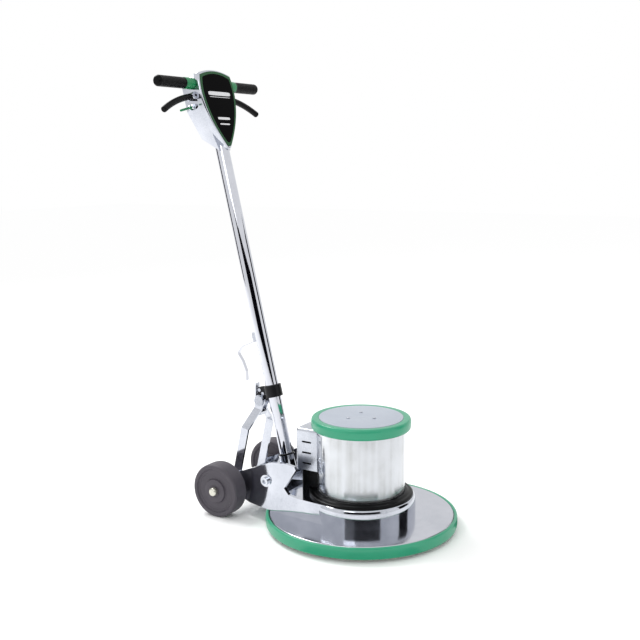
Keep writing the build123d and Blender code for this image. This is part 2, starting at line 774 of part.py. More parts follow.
case_screws = []
for angle in (30, 150, 270):
    case_screws.append(screw(polar_plane(40, angle, CAP_TOP), 2.5, 4.8, 22, 2.4))
for angle, height in BOX_SCREWS:
    spot = polar_plane(SHELL_R + SHEET, angle, height).origin
    out = Plane(origin=spot, z_dir=(cos(radians(angle)), sin(radians(angle)), 0))
    case_screws.append(screw(out, 2.5, 4.8, SHEET, 2.4))
case_screws = Compound(label="case_screws", children=case_screws)
export_step(case_screws, "parts/case_screws.step")

capacitors = Compound(
    label="capacitors",
    children=[
        rod(Plane(origin=(x, 139.5, 0)), 23.0, BOX_LOW + SHEET, BOX_LOW + SHEET + 92) for x in (-36, 36)
    ],
)
export_step(capacitors, "parts/capacitors.step")

with BuildPart() as wiring_boot:
    with BuildSketch(Plane.XY.offset(DRUM_TOP)):
        with Locations((0, 120)):
            Rectangle(120, 74)
        fillet(vertices().group_by(Axis.Y)[-1], 12)
    extrude(amount=BOX_LOW - DRUM_TOP)
    with BuildSketch(Plane.XY.offset(DRUM_TOP)):
        Circle(RING_R)
    extrude(amount=RING_TOP - DRUM_TOP, mode=Mode.SUBTRACT)
    with BuildSketch(Plane.XY.offset(RING_TOP)):
        Circle(SHELL_R)
    extrude(amount=BOX_LOW - RING_TOP, mode=Mode.SUBTRACT)
wiring_boot.part.label = "wiring_boot"
export_step(wiring_boot.part, "parts/wiring_boot.step")

# ---------------------------------------------------------------- axle and wheels
with BuildPart() as axle:
    with BuildSketch(AXLE.offset(-170)):
        Circle(AXLE_R)
    extrude(amount=340)
axle.part.label = "axle"
export_step(axle.part, "parts/axle.step")

WHEEL_IN = WHEEL_X - WHEEL_W / 2
WHEEL_OUT = WHEEL_X + WHEEL_W / 2
SPACER_R = 13.0
brace_in = BRACE_X - BRACE_T / 2 - 0.4
brace_out = BRACE_X + BRACE_T / 2 + 0.4
axle_spacers = Compound(
    label="axle_spacers",
    children=[
        tube_piece(AXLE, AXLE_R, SPACER_R, -brace_in, brace_in),
        tube_piece(AXLE, AXLE_R, SPACER_R, brace_out, AXLE_BOSS_IN),
        tube_piece(AXLE, AXLE_R, SPACER_R, -AXLE_BOSS_IN, -brace_out),
        tube_piece(AXLE, AXLE_R, SPACER_R, AXLE_BOSS_OUT, WHEEL_IN - 0.4),
        tube_piece(AXLE, AXLE_R, SPACER_R, -WHEEL_IN + 0.4, -AXLE_BOSS_OUT),
    ],
)
export_step(axle_spacers, "parts/axle_spacers.step")


def cap_nut(side):
    """Domed nut on one end of the axle."""
    with BuildPart() as nut:
        with BuildSketch(AXLE.offset(side * (WHEEL_OUT + 0.4))):
            Circle(12)
        extrude(amount=side * 12)
        fillet(nut.edges().group_by(Axis.X)[-1 if side > 0 else 0], 5)
        with BuildSketch(AXLE.offset(side * (WHEEL_OUT + 0.4))):
            Circle(AXLE_R)
        extrude(amount=side * (170 - WHEEL_OUT - 0.4), mode=Mode.SUBTRACT)
    return nut.part


axle_cap_nuts = Compound(label="axle_cap_nuts", children=[cap_nut(-1), cap_nut(1)])
export_step(axle_cap_nuts, "parts/axle_cap_nuts.step")

WHEEL_HALF = [
    (AXLE_R + RUNNING, 0),
    (AXLE_R + RUNNING, WHEEL_W / 2),
    (33, WHEEL_W / 2),
    (36, WHEEL_W / 2 - 6),
    (60, WHEEL_W / 2 - 6),
    (63, WHEEL_W / 2),
    (WHEEL_R - 4, WHEEL_W / 2),
    (WHEEL_R, WHEEL_W / 2 - 5),
    (WHEEL_R, 0),
]
for name, side in (("wheel_left", -1), ("wheel_right", 1)):
    with BuildPart() as wheel:
        hub_plane = Plane(origin=(side * WHEEL_X, AXLE_Y, AXLE_Z), x_dir=(0, 0, 1), z_dir=(0, -1, 0))
        with BuildSketch(hub_plane):
            with BuildLine():
                Polyline(*WHEEL_HALF, close=True)
            make_face()
            mirror(about=Plane.XZ)
        revolve(axis=Axis((side * WHEEL_X, AXLE_Y, AXLE_Z), (1, 0, 0)))
    wheel.part.label = name
    export_step(wheel.part, f"parts/{name}.step")

# ---------------------------------------------------------------- handle
pivot_bolt = Compound(
    label="pivot_bolt",
    children=[
        screw(PIVOT_LINE.offset(PIVOT_FACE), PIVOT_BOLT_R, 11, 2 * PIVOT_FACE + 3, 8),
        tube_piece(PIVOT_LINE, PIVOT_BOLT_R, 11, -PIVOT_FACE - 8, -PIVOT_FACE),
    ],
)
export_step(pivot_bolt, "parts/pivot_bolt.step")

with BuildPart() as handle_foot:
    with BuildSketch(PIVOT_LINE.offset(-FOOT_HALF)):
        Circle(13)
    extrude(amount=2 * FOOT_HALF)
    with BuildSketch(PIVOT_LINE.offset(-30)):
        Circle(20)
    extrude(amount=60)
    with BuildSketch(TUBE):
        Circle(SOCKET_R + 2)
    extrude(amount=SOCKET_TOP)
    with BuildSketch(TUBE.offset(TUBE_LOW)):
        Circle(TUBE_R)
    extrude(amount=SOCKET_TOP, mode=Mode.SUBTRACT)
    with BuildSketch(PIVOT_LINE.offset(-FOOT_HALF)):
        Circle(PIVOT_BOLT_R + RUNNING)
    extrude(amount=2 * FOOT_HALF, mode=Mode.SUBTRACT)
handle_foot.part.label = "handle_foot"
export_step(handle_foot.part, "parts/handle_foot.step")

with BuildPart() as foot_washer:
    with BuildSketch(TUBE.offset(SOCKET_TOP)):
        Circle(SOCKET_R + 1)
        Circle(TUBE_R, mode=Mode.SUBTRACT)
    extrude(amount=3)
foot_washer.part.label = "foot_washer"
export_step(foot_washer.part, "parts/foot_washer.step")

with BuildPart() as handle_tube:
    with BuildSketch(TUBE.offset(TUBE_LOW)):
        Circle(TUBE_R)
        Circle(TUBE_R - TUBE_WALL, mode=Mode.SUBTRACT)
    extrude(amount=TUBE_TOP - TUBE_LOW)
handle_tube.part.label = "handle_tube"
export_step(handle_tube.part, "parts/handle_tube.step")


# ---------------------------------------------------------------- switch housing
def shield(grow):
    """Shield outline of the head, widest near the top and drawn in to a round tip over the tube."""
    half_top = 78 + grow
    shoulder = HEAD_TOP - 12 + grow
    tip = 922 - 1.5 * grow
    with BuildSketch() as outline:
        with BuildLine():
            top = ThreePointArc((-half_top + 6, shoulder), (0, HEAD_TOP + grow), (half_top - 6, shoulder))
            right = Spline(
                top @ 1,
                (half_top, 1090),
                (half_top - 17, 1010),
                (half_top - 46, 958),
                (9, tip + 4),
            )
            left = Spline(
                top @ 0,
                (-half_top, 1090),
                (-half_top + 17, 1010),
                (-half_top + 46, 958),
                (-9, tip + 4),
            )
            ThreePointArc(right @ 1, (0, tip), left @ 1)
        make_face()
    return outline.sketch


def bowl_section(half, top, bottom, foot):
    """One section of the rear bowl: a tall shield with cut top corners."""
    with BuildSketch() as section:
        with BuildLine():
            Polyline(
                (foot, bottom),
                (half, top - 90),
                (half, top - 22),
                (half - 16, top),
                (-half + 16, top),
                (-half, top - 22),
                (-half, top - 90),
                (-foot, bottom),
                close=True,
            )
        make_face()
    return section.sketch


with BuildPart() as switch_housing:
    with BuildSketch(FACE.offset(HEAD_SPLIT)):
        add(bowl_section(*BOWL_FRONT))
    with BuildSketch(FACE.offset(HEAD_BACK)):
        add(bowl_section(*BOWL_BACK))
    loft()
    with BuildSketch(FACE.offset(HEAD_SPLIT)):
        add(bowl_section(BOWL_FRONT[0] - HEAD_WALL, BOWL_FRONT[1] - HEAD_WALL, 960, 24))
    with BuildSketch(FACE.offset(HEAD_BACK + HEAD_WALL)):
        add(bowl_section(BOWL_BACK[0] - HEAD_WALL, BOWL_BACK[1] - HEAD_WALL, 990, 17))
    loft(mode=Mode.SUBTRACT)
    with BuildSketch(TUBE.offset(900)):
        Circle(TUBE_R)
    extrude(amount=TUBE_TOP - 900, mode=Mode.SUBTRACT)
    # lugs that carry the two trigger levers
    for side in (-1, 1):
        for start in (TRIGGER_OFF + TRIGGER_R + 3.5, TRIGGER_OFF - TRIGGER_R - 0.5):
            with BuildSketch(FACE.offset(start)):
                with Locations((side * (TRIGGER_X - 14), TRIGGER_T)):
                    Rectangle(30, 20)
                with Locations((side * (TRIGGER_X + 1), TRIGGER_T)):
                    Circle(10)
            extrude(amount=-3.0)
    with BuildSketch(FACE.offset(30)):
        with Locations((-TRIGGER_X, TRIGGER_T), (TRIGGER_X, TRIGGER_T)):
            Circle(3 + RUNNING)
    extrude(amount=-60, mode=Mode.SUBTRACT)
    # boss that the safety lever turns on, left side only
    with BuildSketch(FACE.offset(SAFETY_OFF + 8)):
        with Locations((-SAFETY_X, SAFETY_T)):
            Circle(7)
        with Locations((-SAFETY_X + 10, SAFETY_T)):
            Rectangle(20, 14)
    extrude(amount=-16)
    with BuildSketch(FACE.offset(SAFETY_OFF + 4)):
        with Locations((-SAFETY_X - 2, SAFETY_T)):
            Rectangle(18, 30)
    extrude(amount=-8, mode=Mode.SUBTRACT)
    with BuildSketch(FACE.offset(SAFETY_OFF + 20)):
        with Locations((-SAFETY_X, SAFETY_T)):
            Circle(2 + RUNNING)
    extrude(amount=-40, mode=Mode.SUBTRACT)
    # crossbar, cord gland and cover screw holes
    with BuildSketch(SIDE.offset(-GRIP_END)):
        with Locations((0, GRIP_T)):
            Circle(BAR_R)
    extrude(amount=2 * GRIP_END, mode=Mode.SUBTRACT)
    for side in (-1, 1):
        with BuildSketch(SIDE.offset(side * LEFT_COLLAR[0])):
            with Locations((0, GRIP_T)):
                Circle(GRIP_R + 1.6)
        extrude(amount=side * 40, mode=Mode.SUBTRACT)
    with BuildSketch(FACE.offset(HEAD_BACK - 1)):
        with Locations((0, GLAND_T)):
            Circle(8)
    extrude(amount=12, mode=Mode.SUBTRACT)
    with BuildSketch(FACE.offset(HEAD_BACK - 1)):
        with Locations(*HEAD_SCREWS):
            Circle(2.5)
    extrude(amount=HEAD_WALL + 4, mode=Mode.SUBTRACT)
switch_housing.part.label = "switch_housing"
export_step(switch_housing.part, "parts/switch_housing.step")


def rear_seat(x, t):
    """Plane on the back of the head, facing the rear, at a place across and up the handle."""
    place = FACE.offset(HEAD_BACK).from_local_coords((x, t, 0))
    return Plane(origin=place, x_dir=(1, 0, 0), z_dir=SIDE.x_dir)


handle_screws = [screw(HOOK_FACE.offset(HOOK_SHEET + 0.6), 2.5, 4.8, HOOK_SHEET + 6.6, 2.4)]
for x, t in HEAD_SCREWS:
    handle_screws.append(screw(rear_seat(x, t), 2.5, 4.8, HEAD_WALL + 1.5, 2.4))
handle_screws = Compound(label="handle_screws", children=handle_screws)
export_step(handle_screws, "parts/handle_screws.step")

with BuildPart() as switch_cover:
    with BuildSketch(FACE.offset(HEAD_SPLIT)):
        add(shield(0))
    extrude(amount=HEAD_FRONT - HEAD_SPLIT)
    fillet(switch_cover.edges().group_by(Axis((0, 0, 0), FACE.z_dir))[-1], 5)
    with BuildSketch(FACE.offset(HEAD_SPLIT)):
        add(shield(-HEAD_WALL - 8))
    extrude(amount=HEAD_FRONT - HEAD_SPLIT - HEAD_WALL, mode=Mode.SUBTRACT)
    with BuildSketch(TUBE.offset(900)):
        Circle(TUBE_R)
    extrude(amount=TUBE_TOP - 900, mode=Mode.SUBTRACT)
    with BuildSketch(SIDE.offset(-GRIP_END)):
        with Locations((0, GRIP_T)):
            Circle(BAR_R)
    extrude(amount=2 * GRIP_END, mode=Mode.SUBTRACT)
    for side in (-1, 1):
        with BuildSketch(SIDE.offset(side * LEFT_COLLAR[0])):
            with Locations((0, GRIP_T)):
                Circle(GRIP_R + 1.6)
        extrude(amount=side * 40, mode=Mode.SUBTRACT)
switch_cover.part.label = "switch_cover"
export_step(switch_cover.part, "parts/switch_cover.step")

with BuildPart() as panel_border:
    with BuildSketch(FACE.offset(HEAD_FRONT)):
        add(shield(PANEL_GROW))
        add(shield(PANEL_GROW - PANEL_BORDER), mode=Mode.SUBTRACT)
    extrude(amount=1.4)
panel_border.part.label = "panel_border"
export_step(panel_border.part, "parts/panel_border.step")

with BuildPart() as face_panel:
    with BuildSketch(FACE.offset(HEAD_FRONT)):
        add(shield(PANEL_GROW - PANEL_BORDER))
    extrude(amount=1.0)
face_panel.part.label = "face_panel"
export_step(face_panel.part, "parts/face_panel.step")

with BuildPart() as switch_body:
    with BuildSketch(FACE.offset(-28)):
        with Locations((0, 1058)):
            Rectangle(54, 34)
    extrude(amount=30)
    with BuildSketch(FACE.offset(-28)):
        with Locations((-31, 1058), (31, 1058)):
            Rectangle(8, 8)
    extrude(amount=20)
switch_body.part.label = "switch_body"
export_step(switch_body.part, "parts/switch_body.step")

gland_seat = rear_seat(0, GLAND_T)
with BuildPart() as cord_gland:
    with BuildSketch(gland_seat.offset(-HEAD_WALL)):
        Circle(8)
    extrude(amount=HEAD_WALL)
    with BuildSketch(gland_seat):
        Circle(11)
    extrude(amount=6)
    with BuildSketch(gland_seat.offset(6)):
        Circle(8.5)
    extrude(amount=14, taper=6)
    with BuildSketch(gland_seat.offset(-HEAD_WALL)):
        Circle(5)
    extrude(amount=40, mode=Mode.SUBTRACT)
cord_gland.part.label = "cord_gland"
export_step(cord_gland.part, "parts/cord_gland.step")

# ---------------------------------------------------------------- crossbar, grips and levers
BAR = Plane(origin=SIDE.from_local_coords((0, GRIP_T, 0)), x_dir=(0, LEAN_COS, -LEAN_SIN), z_dir=(1, 0, 0))
with BuildPart() as crossbar:
    with BuildSketch(BAR.offset(-GRIP_END + 6)):
        Circle(BAR_R)
        Circle(BAR_R - 2, mode=Mode.SUBTRACT)
    extrude(amount=2 * (GRIP_END - 6))
crossbar.part.label = "crossbar"
export_step(crossbar.part, "parts/crossbar.step")

for name, side, inner in (("grip_left", -1, LEFT_COLLAR[1]), ("grip_right", 1, RIGHT_COLLAR[1])):
    with BuildPart() as grip:
        with BuildSketch(BAR.offset(side * inner)):
            Circle(GRIP_R)
        extrude(amount=side * (GRIP_END - inner))
        fillet(grip.edges().group_by(Axis.X)[-1 if side > 0 else 0], 9)
        with BuildSketch(BAR.offset(side * inner)):
            Circle(BAR_R)
        extrude(amount=side * (GRIP_END - 6 - inner), mode=Mode.SUBTRACT)
    grip.part.label = name
    export_step(grip.part, f"parts/{name}.step")

grip_collars = Compound(
    label="grip_collars",
    children=[
        tube_piece(BAR, BAR_R, GRIP_R + 0.6, -LEFT_COLLAR[1], -LEFT_COLLAR[0]),
        tube_piece(BAR, BAR_R, GRIP_R + 0.6, RIGHT_COLLAR[0], RIGHT_COLLAR[1]),
    ],
)
export_step(grip_collars, "parts/grip_collars.step")

with BuildPart() as trigger_left:
    with BuildLine(FACE.offset(TRIGGER_OFF)) as route:
        ThreePointArc(
            (-TRIGGER_X - 6, TRIGGER_T - 1),
            (-TRIGGER_X - 74, TRIGGER_T - 17),
            (-TRIGGER_X - TRIGGER_REACH, TRIGGER_T - TRIGGER_DROP),
        )
    with BuildSketch(Plane(origin=route.wire() @ 0, z_dir=route.wire() % 0)):
        Circle(TRIGGER_R - 0.5)
    sweep(path=route.wire())
    fillet(trigger_left.faces().sort_by(Axis.X)[0].edges(), 4)
    with BuildSketch(FACE.offset(TRIGGER_OFF + TRIGGER_R - 0.5)):
        with Locations((-TRIGGER_X, TRIGGER_T)):
            Circle(10)
    extrude(amount=-2 * TRIGGER_R + 1)
    with BuildSketch(FACE.offset(TRIGGER_OFF + TRIGGER_R + 3.5)):
        with Locations((-TRIGGER_X, TRIGGER_T)):
            Circle(3)
    extrude(amount=-2 * TRIGGER_R - 7)
trigger_left.part.label = "trigger_left"
export_step(trigger_left.part, "parts/trigger_left.step")

with BuildPart() as trigger_right:
    mirror(trigger_left.part, about=Plane.YZ)
trigger_right.part.label = "trigger_right"
export_step(trigger_right.part, "parts/trigger_right.step")

with BuildPart() as safety_lever:
    with BuildSketch(FACE.offset(SAFETY_OFF + 3.6)):
        with Locations((-SAFETY_X, SAFETY_T)):
            Circle(5)
    extrude(amount=-7.2)
    with BuildSketch(FACE.offset(SAFETY_OFF + 8)):
        with Locations((-SAFETY_X, SAFETY_T)):
            Circle(2)
    extrude(amount=-16)
    root = FACE.offset(SAFETY_OFF).from_local_coords((-SAFETY_X, SAFETY_T, 0))
    with BuildSketch(Plane(origin=root, z_dir=SAFETY_DIR)):
        Circle(3.2)
    extrude(amount=54)
    fillet(safety_lever.edges().group_by(Axis.X)[0], 1.5)
safety_lever.part.label = "safety_lever"
export_step(safety_lever.part, "parts/safety_lever.step")

# ---------------------------------------------------------------- cord hook on the handle
with BuildPart() as hook_mount:
    with BuildSketch(TUBE.offset(HOOK_T - 14)):
        with Locations((0, TUBE_R + 2.5)):
            Rectangle(18, 11)
        Circle(TUBE_R, mode=Mode.SUBTRACT)
    extrude(amount=28)
    fillet(hook_mount.edges().group_by(Axis((0, 0, 0), SIDE.x_dir))[-1], 1.5)
    with BuildSketch(HOOK_FACE.offset(-6)):
        Circle(2.5)
    extrude(amount=6, mode=Mode.SUBTRACT)
hook_mount.part.label = "hook_mount"
export_step(hook_mount.part, "parts/hook_mount.step")

with BuildPart() as cord_hook:
    with BuildSketch(SIDE.offset(-HOOK_W / 2)):
        with BuildLine():
            FilletPolyline(*HOOK_PATH, radius=4)
            offset(amount=HOOK_SHEET, side=Side.LEFT)
        make_face()
    extrude(amount=HOOK_W)
    with BuildSketch(HOOK_FACE.offset(-2)):
        Circle(2.5 + RUNNING)
    extrude(amount=10, mode=Mode.SUBTRACT)
cord_hook.part.label = "cord_hook"
export_step(cord_hook.part, "parts/cord_hook.step")

# ---------------------------------------------------------------- sliding collar, cam lever and brace
with BuildPart() as clamp_collar:
    with BuildSketch(TUBE.offset(COLLAR_T - COLLAR_H / 2)):
        Circle(COLLAR_R)
    extrude(amount=COLLAR_H)
    with BuildSketch(SIDE.offset(-LUG_OUT)):
        with BuildLine():
            Polyline(
                (20, COLLAR_T - 16),
                (20, COLLAR_T + 16),
                (46, COLLAR_T + 16),
                (49, COLLAR_T + 8),
                (49, COLLAR_T - 6),
                (53, COLLAR_T - 22),
                (45, COLLAR_T - 31),
                (36, COLLAR_T - 27),
                close=True,
            )
        make_face()
    extrude(amount=2 * LUG_OUT)
    with BuildSketch(SIDE.offset(-LUG_IN)):
        with Locations((46, COLLAR_T - 6)):
            Rectangle(52, 60)
    extrude(amount=2 * LUG_IN, mode=Mode.SUBTRACT)
    with BuildSketch(TUBE.offset(COLLAR_T - COLLAR_H)):
        Circle(TUBE_R + COLLAR_FIT)
    extrude(amount=2 * COLLAR_H, mode=Mode.SUBTRACT)
    with BuildSketch(SIDE.offset(-LUG_OUT)):
        with Locations((BRACE_PIN_OFF, BRACE_PIN_T)):
            Circle(BRACE_PIN_R)
        with Locations((LEVER_PIN_OFF, LEVER_PIN_T), CLAMP_BOLT):
            Circle(LEVER_PIN_R)
    extrude(amount=2 * LUG_OUT, mode=Mode.SUBTRACT)
clamp_collar.part.label = "clamp_collar"
export_step(clamp_collar.part, "parts/clamp_collar.step")


def cross_bolt(place, radius, half, head_r, head_h):
    """A bolt through the collar's lugs along X, with a round head on each end."""
    line = Plane(origin=SIDE.from_local_coords((place[0], place[1], 0)), x_dir=SIDE.x_dir, z_dir=(1, 0, 0))
    with BuildPart() as bolt:
        with BuildSketch(line.offset(-half)):
            Circle(radius)
        extrude(amount=2 * half)
        for side in (-1, 1):
            with BuildSketch(line.offset(side * half)):
                Circle(head_r)
            extrude(amount=side * head_h)
    return bolt.part


collar_pins = Compound(
    label="collar_pins",
    children=[
        cross_bolt((LEVER_PIN_OFF, LEVER_PIN_T), LEVER_PIN_R, LUG_OUT, 5, 1.0),
        cross_bolt(CLAMP_BOLT, LEVER_PIN_R, LUG_OUT, 5, 1.0),
        cross_bolt((BRACE_PIN_OFF, BRACE_PIN_T), BRACE_PIN_R, EAR_X + BRACE_T / 2 + 0.5, 15, 3),
    ],
)
export_step(collar_pins, "parts/collar_pins.step")

with BuildPart() as cam_lever:
    with BuildSketch(SIDE.offset(-9)):
        with BuildLine():
            Polyline((64.5, 197), (67.3, 197.8), (51.3, 258.8), (48.5, 258), close=True)
        make_face()
    extrude(amount=18)
    with BuildSketch(SIDE.offset(-LUG_IN + 0.4)):
        with Locations((LEVER_PIN_OFF, LEVER_PIN_T)):
            Circle(6.5)
        with Locations((LEVER_PIN_OFF + 6.5, LEVER_PIN_T)):
            Rectangle(13, 10)
    extrude(amount=2 * LUG_IN - 0.8)
    with BuildSketch(SIDE.offset(-LUG_IN)):
        with Locations((LEVER_PIN_OFF, LEVER_PIN_T)):
            Circle(LEVER_PIN_R + RUNNING)
    extrude(amount=2 * LUG_IN, mode=Mode.SUBTRACT)
cam_lever.part.label = "cam_lever"
export_step(cam_lever.part, "parts/cam_lever.step")

with BuildPart() as brace_yoke:
    with BuildSketch(BRACE.offset(-BRACE_W / 2)):
        for side in (1, -1):
            with BuildLine():
                Polyline(
                    (side * (BRACE_X + BRACE_T / 2), 0),
                    (side * (BRACE_X + BRACE_T / 2), BRACE_KNEE + 1.5),
                    (side * (EAR_X + BRACE_T / 2), BRACE_L - 24),
                    (side * (EAR_X + BRACE_T / 2), BRACE_L),
                    (side * (EAR_X - BRACE_T / 2), BRACE_L),
                    (side * (EAR_X - BRACE_T / 2), BRACE_L - 26),
                    (side * (BRACE_X - BRACE_T / 2), BRACE_KNEE - 1),
                    (side * (BRACE_X - BRACE_T / 2), 0),
                    close=True,
                )
            make_face()
        with Locations((0, BRACE_L - 37)):
            Rectangle(2 * EAR_X + 4, 10)
    extrude(amount=BRACE_W)
    for side in (-1, 1):
        with BuildSketch(AXLE.offset(side * BRACE_X - BRACE_T / 2)):
            Circle(15)
        extrude(amount=BRACE_T)
        with BuildSketch(BRACE_EYE.offset(side * EAR_X - BRACE_T / 2)):
            Circle(17)
        extrude(amount=BRACE_T)
    with BuildSketch(AXLE.offset(-100)):
        Circle(AXLE_R + RUNNING)
    extrude(amount=200, mode=Mode.SUBTRACT)
    with BuildSketch(BRACE_EYE.offset(-40)):
        Circle(BRACE_EYE_R)
    extrude(amount=80, mode=Mode.SUBTRACT)
brace_yoke.part.label = "brace_yoke"
export_step(brace_yoke.part, "parts/brace_yoke.step")
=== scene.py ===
"""Looks of a single-disc floor burnisher, built round its fixed frame of machined parts."""
import json
import logging
from dataclasses import dataclass, field
from enum import Enum
from math import cos, pi, radians, sin
from typing import Any

import bmesh
import bpy
import numpy as np
from mathutils import Matrix, Vector


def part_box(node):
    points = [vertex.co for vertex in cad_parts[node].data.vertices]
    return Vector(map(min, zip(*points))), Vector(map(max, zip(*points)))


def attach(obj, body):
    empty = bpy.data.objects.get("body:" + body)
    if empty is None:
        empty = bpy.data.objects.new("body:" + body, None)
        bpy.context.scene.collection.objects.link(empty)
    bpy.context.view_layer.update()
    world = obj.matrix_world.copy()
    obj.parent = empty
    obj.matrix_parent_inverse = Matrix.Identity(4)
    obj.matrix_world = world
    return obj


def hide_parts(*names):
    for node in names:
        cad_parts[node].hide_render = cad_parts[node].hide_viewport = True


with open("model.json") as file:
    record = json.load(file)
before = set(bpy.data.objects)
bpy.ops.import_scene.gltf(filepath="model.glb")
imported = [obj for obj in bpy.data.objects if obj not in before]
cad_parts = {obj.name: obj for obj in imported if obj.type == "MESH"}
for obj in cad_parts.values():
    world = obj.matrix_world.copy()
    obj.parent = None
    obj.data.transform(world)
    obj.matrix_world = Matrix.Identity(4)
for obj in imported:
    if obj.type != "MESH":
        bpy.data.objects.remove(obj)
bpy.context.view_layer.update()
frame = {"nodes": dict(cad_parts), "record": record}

LOG = logging.getLogger("burnisher")
MM = 0.001
ROUND_STEPS = 192  # facets round a polished drum, fine enough for a mirror finish
SMALL_STEPS = 64
WHEEL_STEPS = 128
TUBE_STEPS = 96
CAN_STEPS = 256
CREASE = 35.0  # edges sharper than this, in degrees, stay crisp
LEAN = radians(13.42)  # the handle's lean from upright
PIVOT = np.array([0.0, 0.233, 0.120])  # the bolt that the handle tilts on
UP = np.array([0.0, sin(LEAN), cos(LEAN)])  # up the handle tube
REAR = np.array([0.0, cos(LEAN), -sin(LEAN)])  # square to the tube, towards the operator
ACROSS = np.array([1.0, 0.0, 0.0])
UPRIGHT = np.array([0.0, 0.0, 1.0])


class Pattern(Enum):
    """How a surface was made, which decides the field that its colour and relief follow."""

    GRAINED = "even noise: cast, moulded, printed or polished surfaces"
    BRUSHED = "noise drawn out along the height, as a belt or a roller leaves it"
    SPUN = "rings about the upright axis, as a lathe leaves them"
    STACKED = "thin bands up the height, as punched sheets make"
    FIBROUS = "tangled cells, as non-woven fibre has"


# ------------------------------------------------------------------ finishes
NOISE_DETAIL = 4.0
NOISE_ROUGHNESS = 0.55
BRUSH_DRAW = 0.02  # a brushed grain is fifty times as long as it is wide
BAND_SCALE = pi / 10  # turns bands a metre to the wave node's own scale
BAND_WANDER = 0.2
BLOTCH_PER_METRE = 14.0  # slow patches about 70 mm across, as handling leaves
BLOTCH_DETAIL = 3.0
BLOTCH_ROUGHNESS = 0.6
PATCH_LOW, PATCH_HIGH = 0.12, 0.42  # where grain times blotch mostly lies
WAVE_PER_METRE = 22.0  # hand-polished waves about 45 mm long
RELIEF_STRENGTH = 0.6
COAT_ROUGHNESS = 0.08


def linear(code: str) -> tuple[float, float, float, float]:
    """Turns an sRGB hex colour to the linear values that a shader takes.

    Args:
        code: Six hex digits, without a hash sign.

    Returns:
        Linear red, green and blue, and an alpha of 1.
    """
    parts = np.array([int(code[k:k + 2], 16) / 255 for k in (0, 2, 4)])
    out = np.where(parts <= 0.04045, parts / 12.92, ((parts + 0.055) / 1.055) ** 2.4)
    return float(out[0]), float(out[1]), float(out[2]), 1.0


def add(
    tree: bpy.types.NodeTree,
    kind: str,
    settings: dict[str, Any] | None = None,
    values: dict[str | int, Any] | None = None,
    links: dict[str | int, bpy.types.NodeSocket] | None = None,
) -> bpy.types.Node:
    """Adds a node with its settings, socket values and incoming links.

    Args:
        tree: The node tree.
        kind: The node's type name.
        settings: Properties of the node.
        values: Input sockets and the values that they hold.
        links: Input sockets and the output sockets that feed them.

    Returns:
        The new node.
    """
    node = tree.nodes.new(kind)
    for key, value in (settings or {}).items():
        setattr(node, key, value)
    for key, value in (values or {}).items():
        node.inputs[key].default_value = value
    for key, source in (links or {}).items():
        tree.links.new(source, node.inputs[key])
    return node


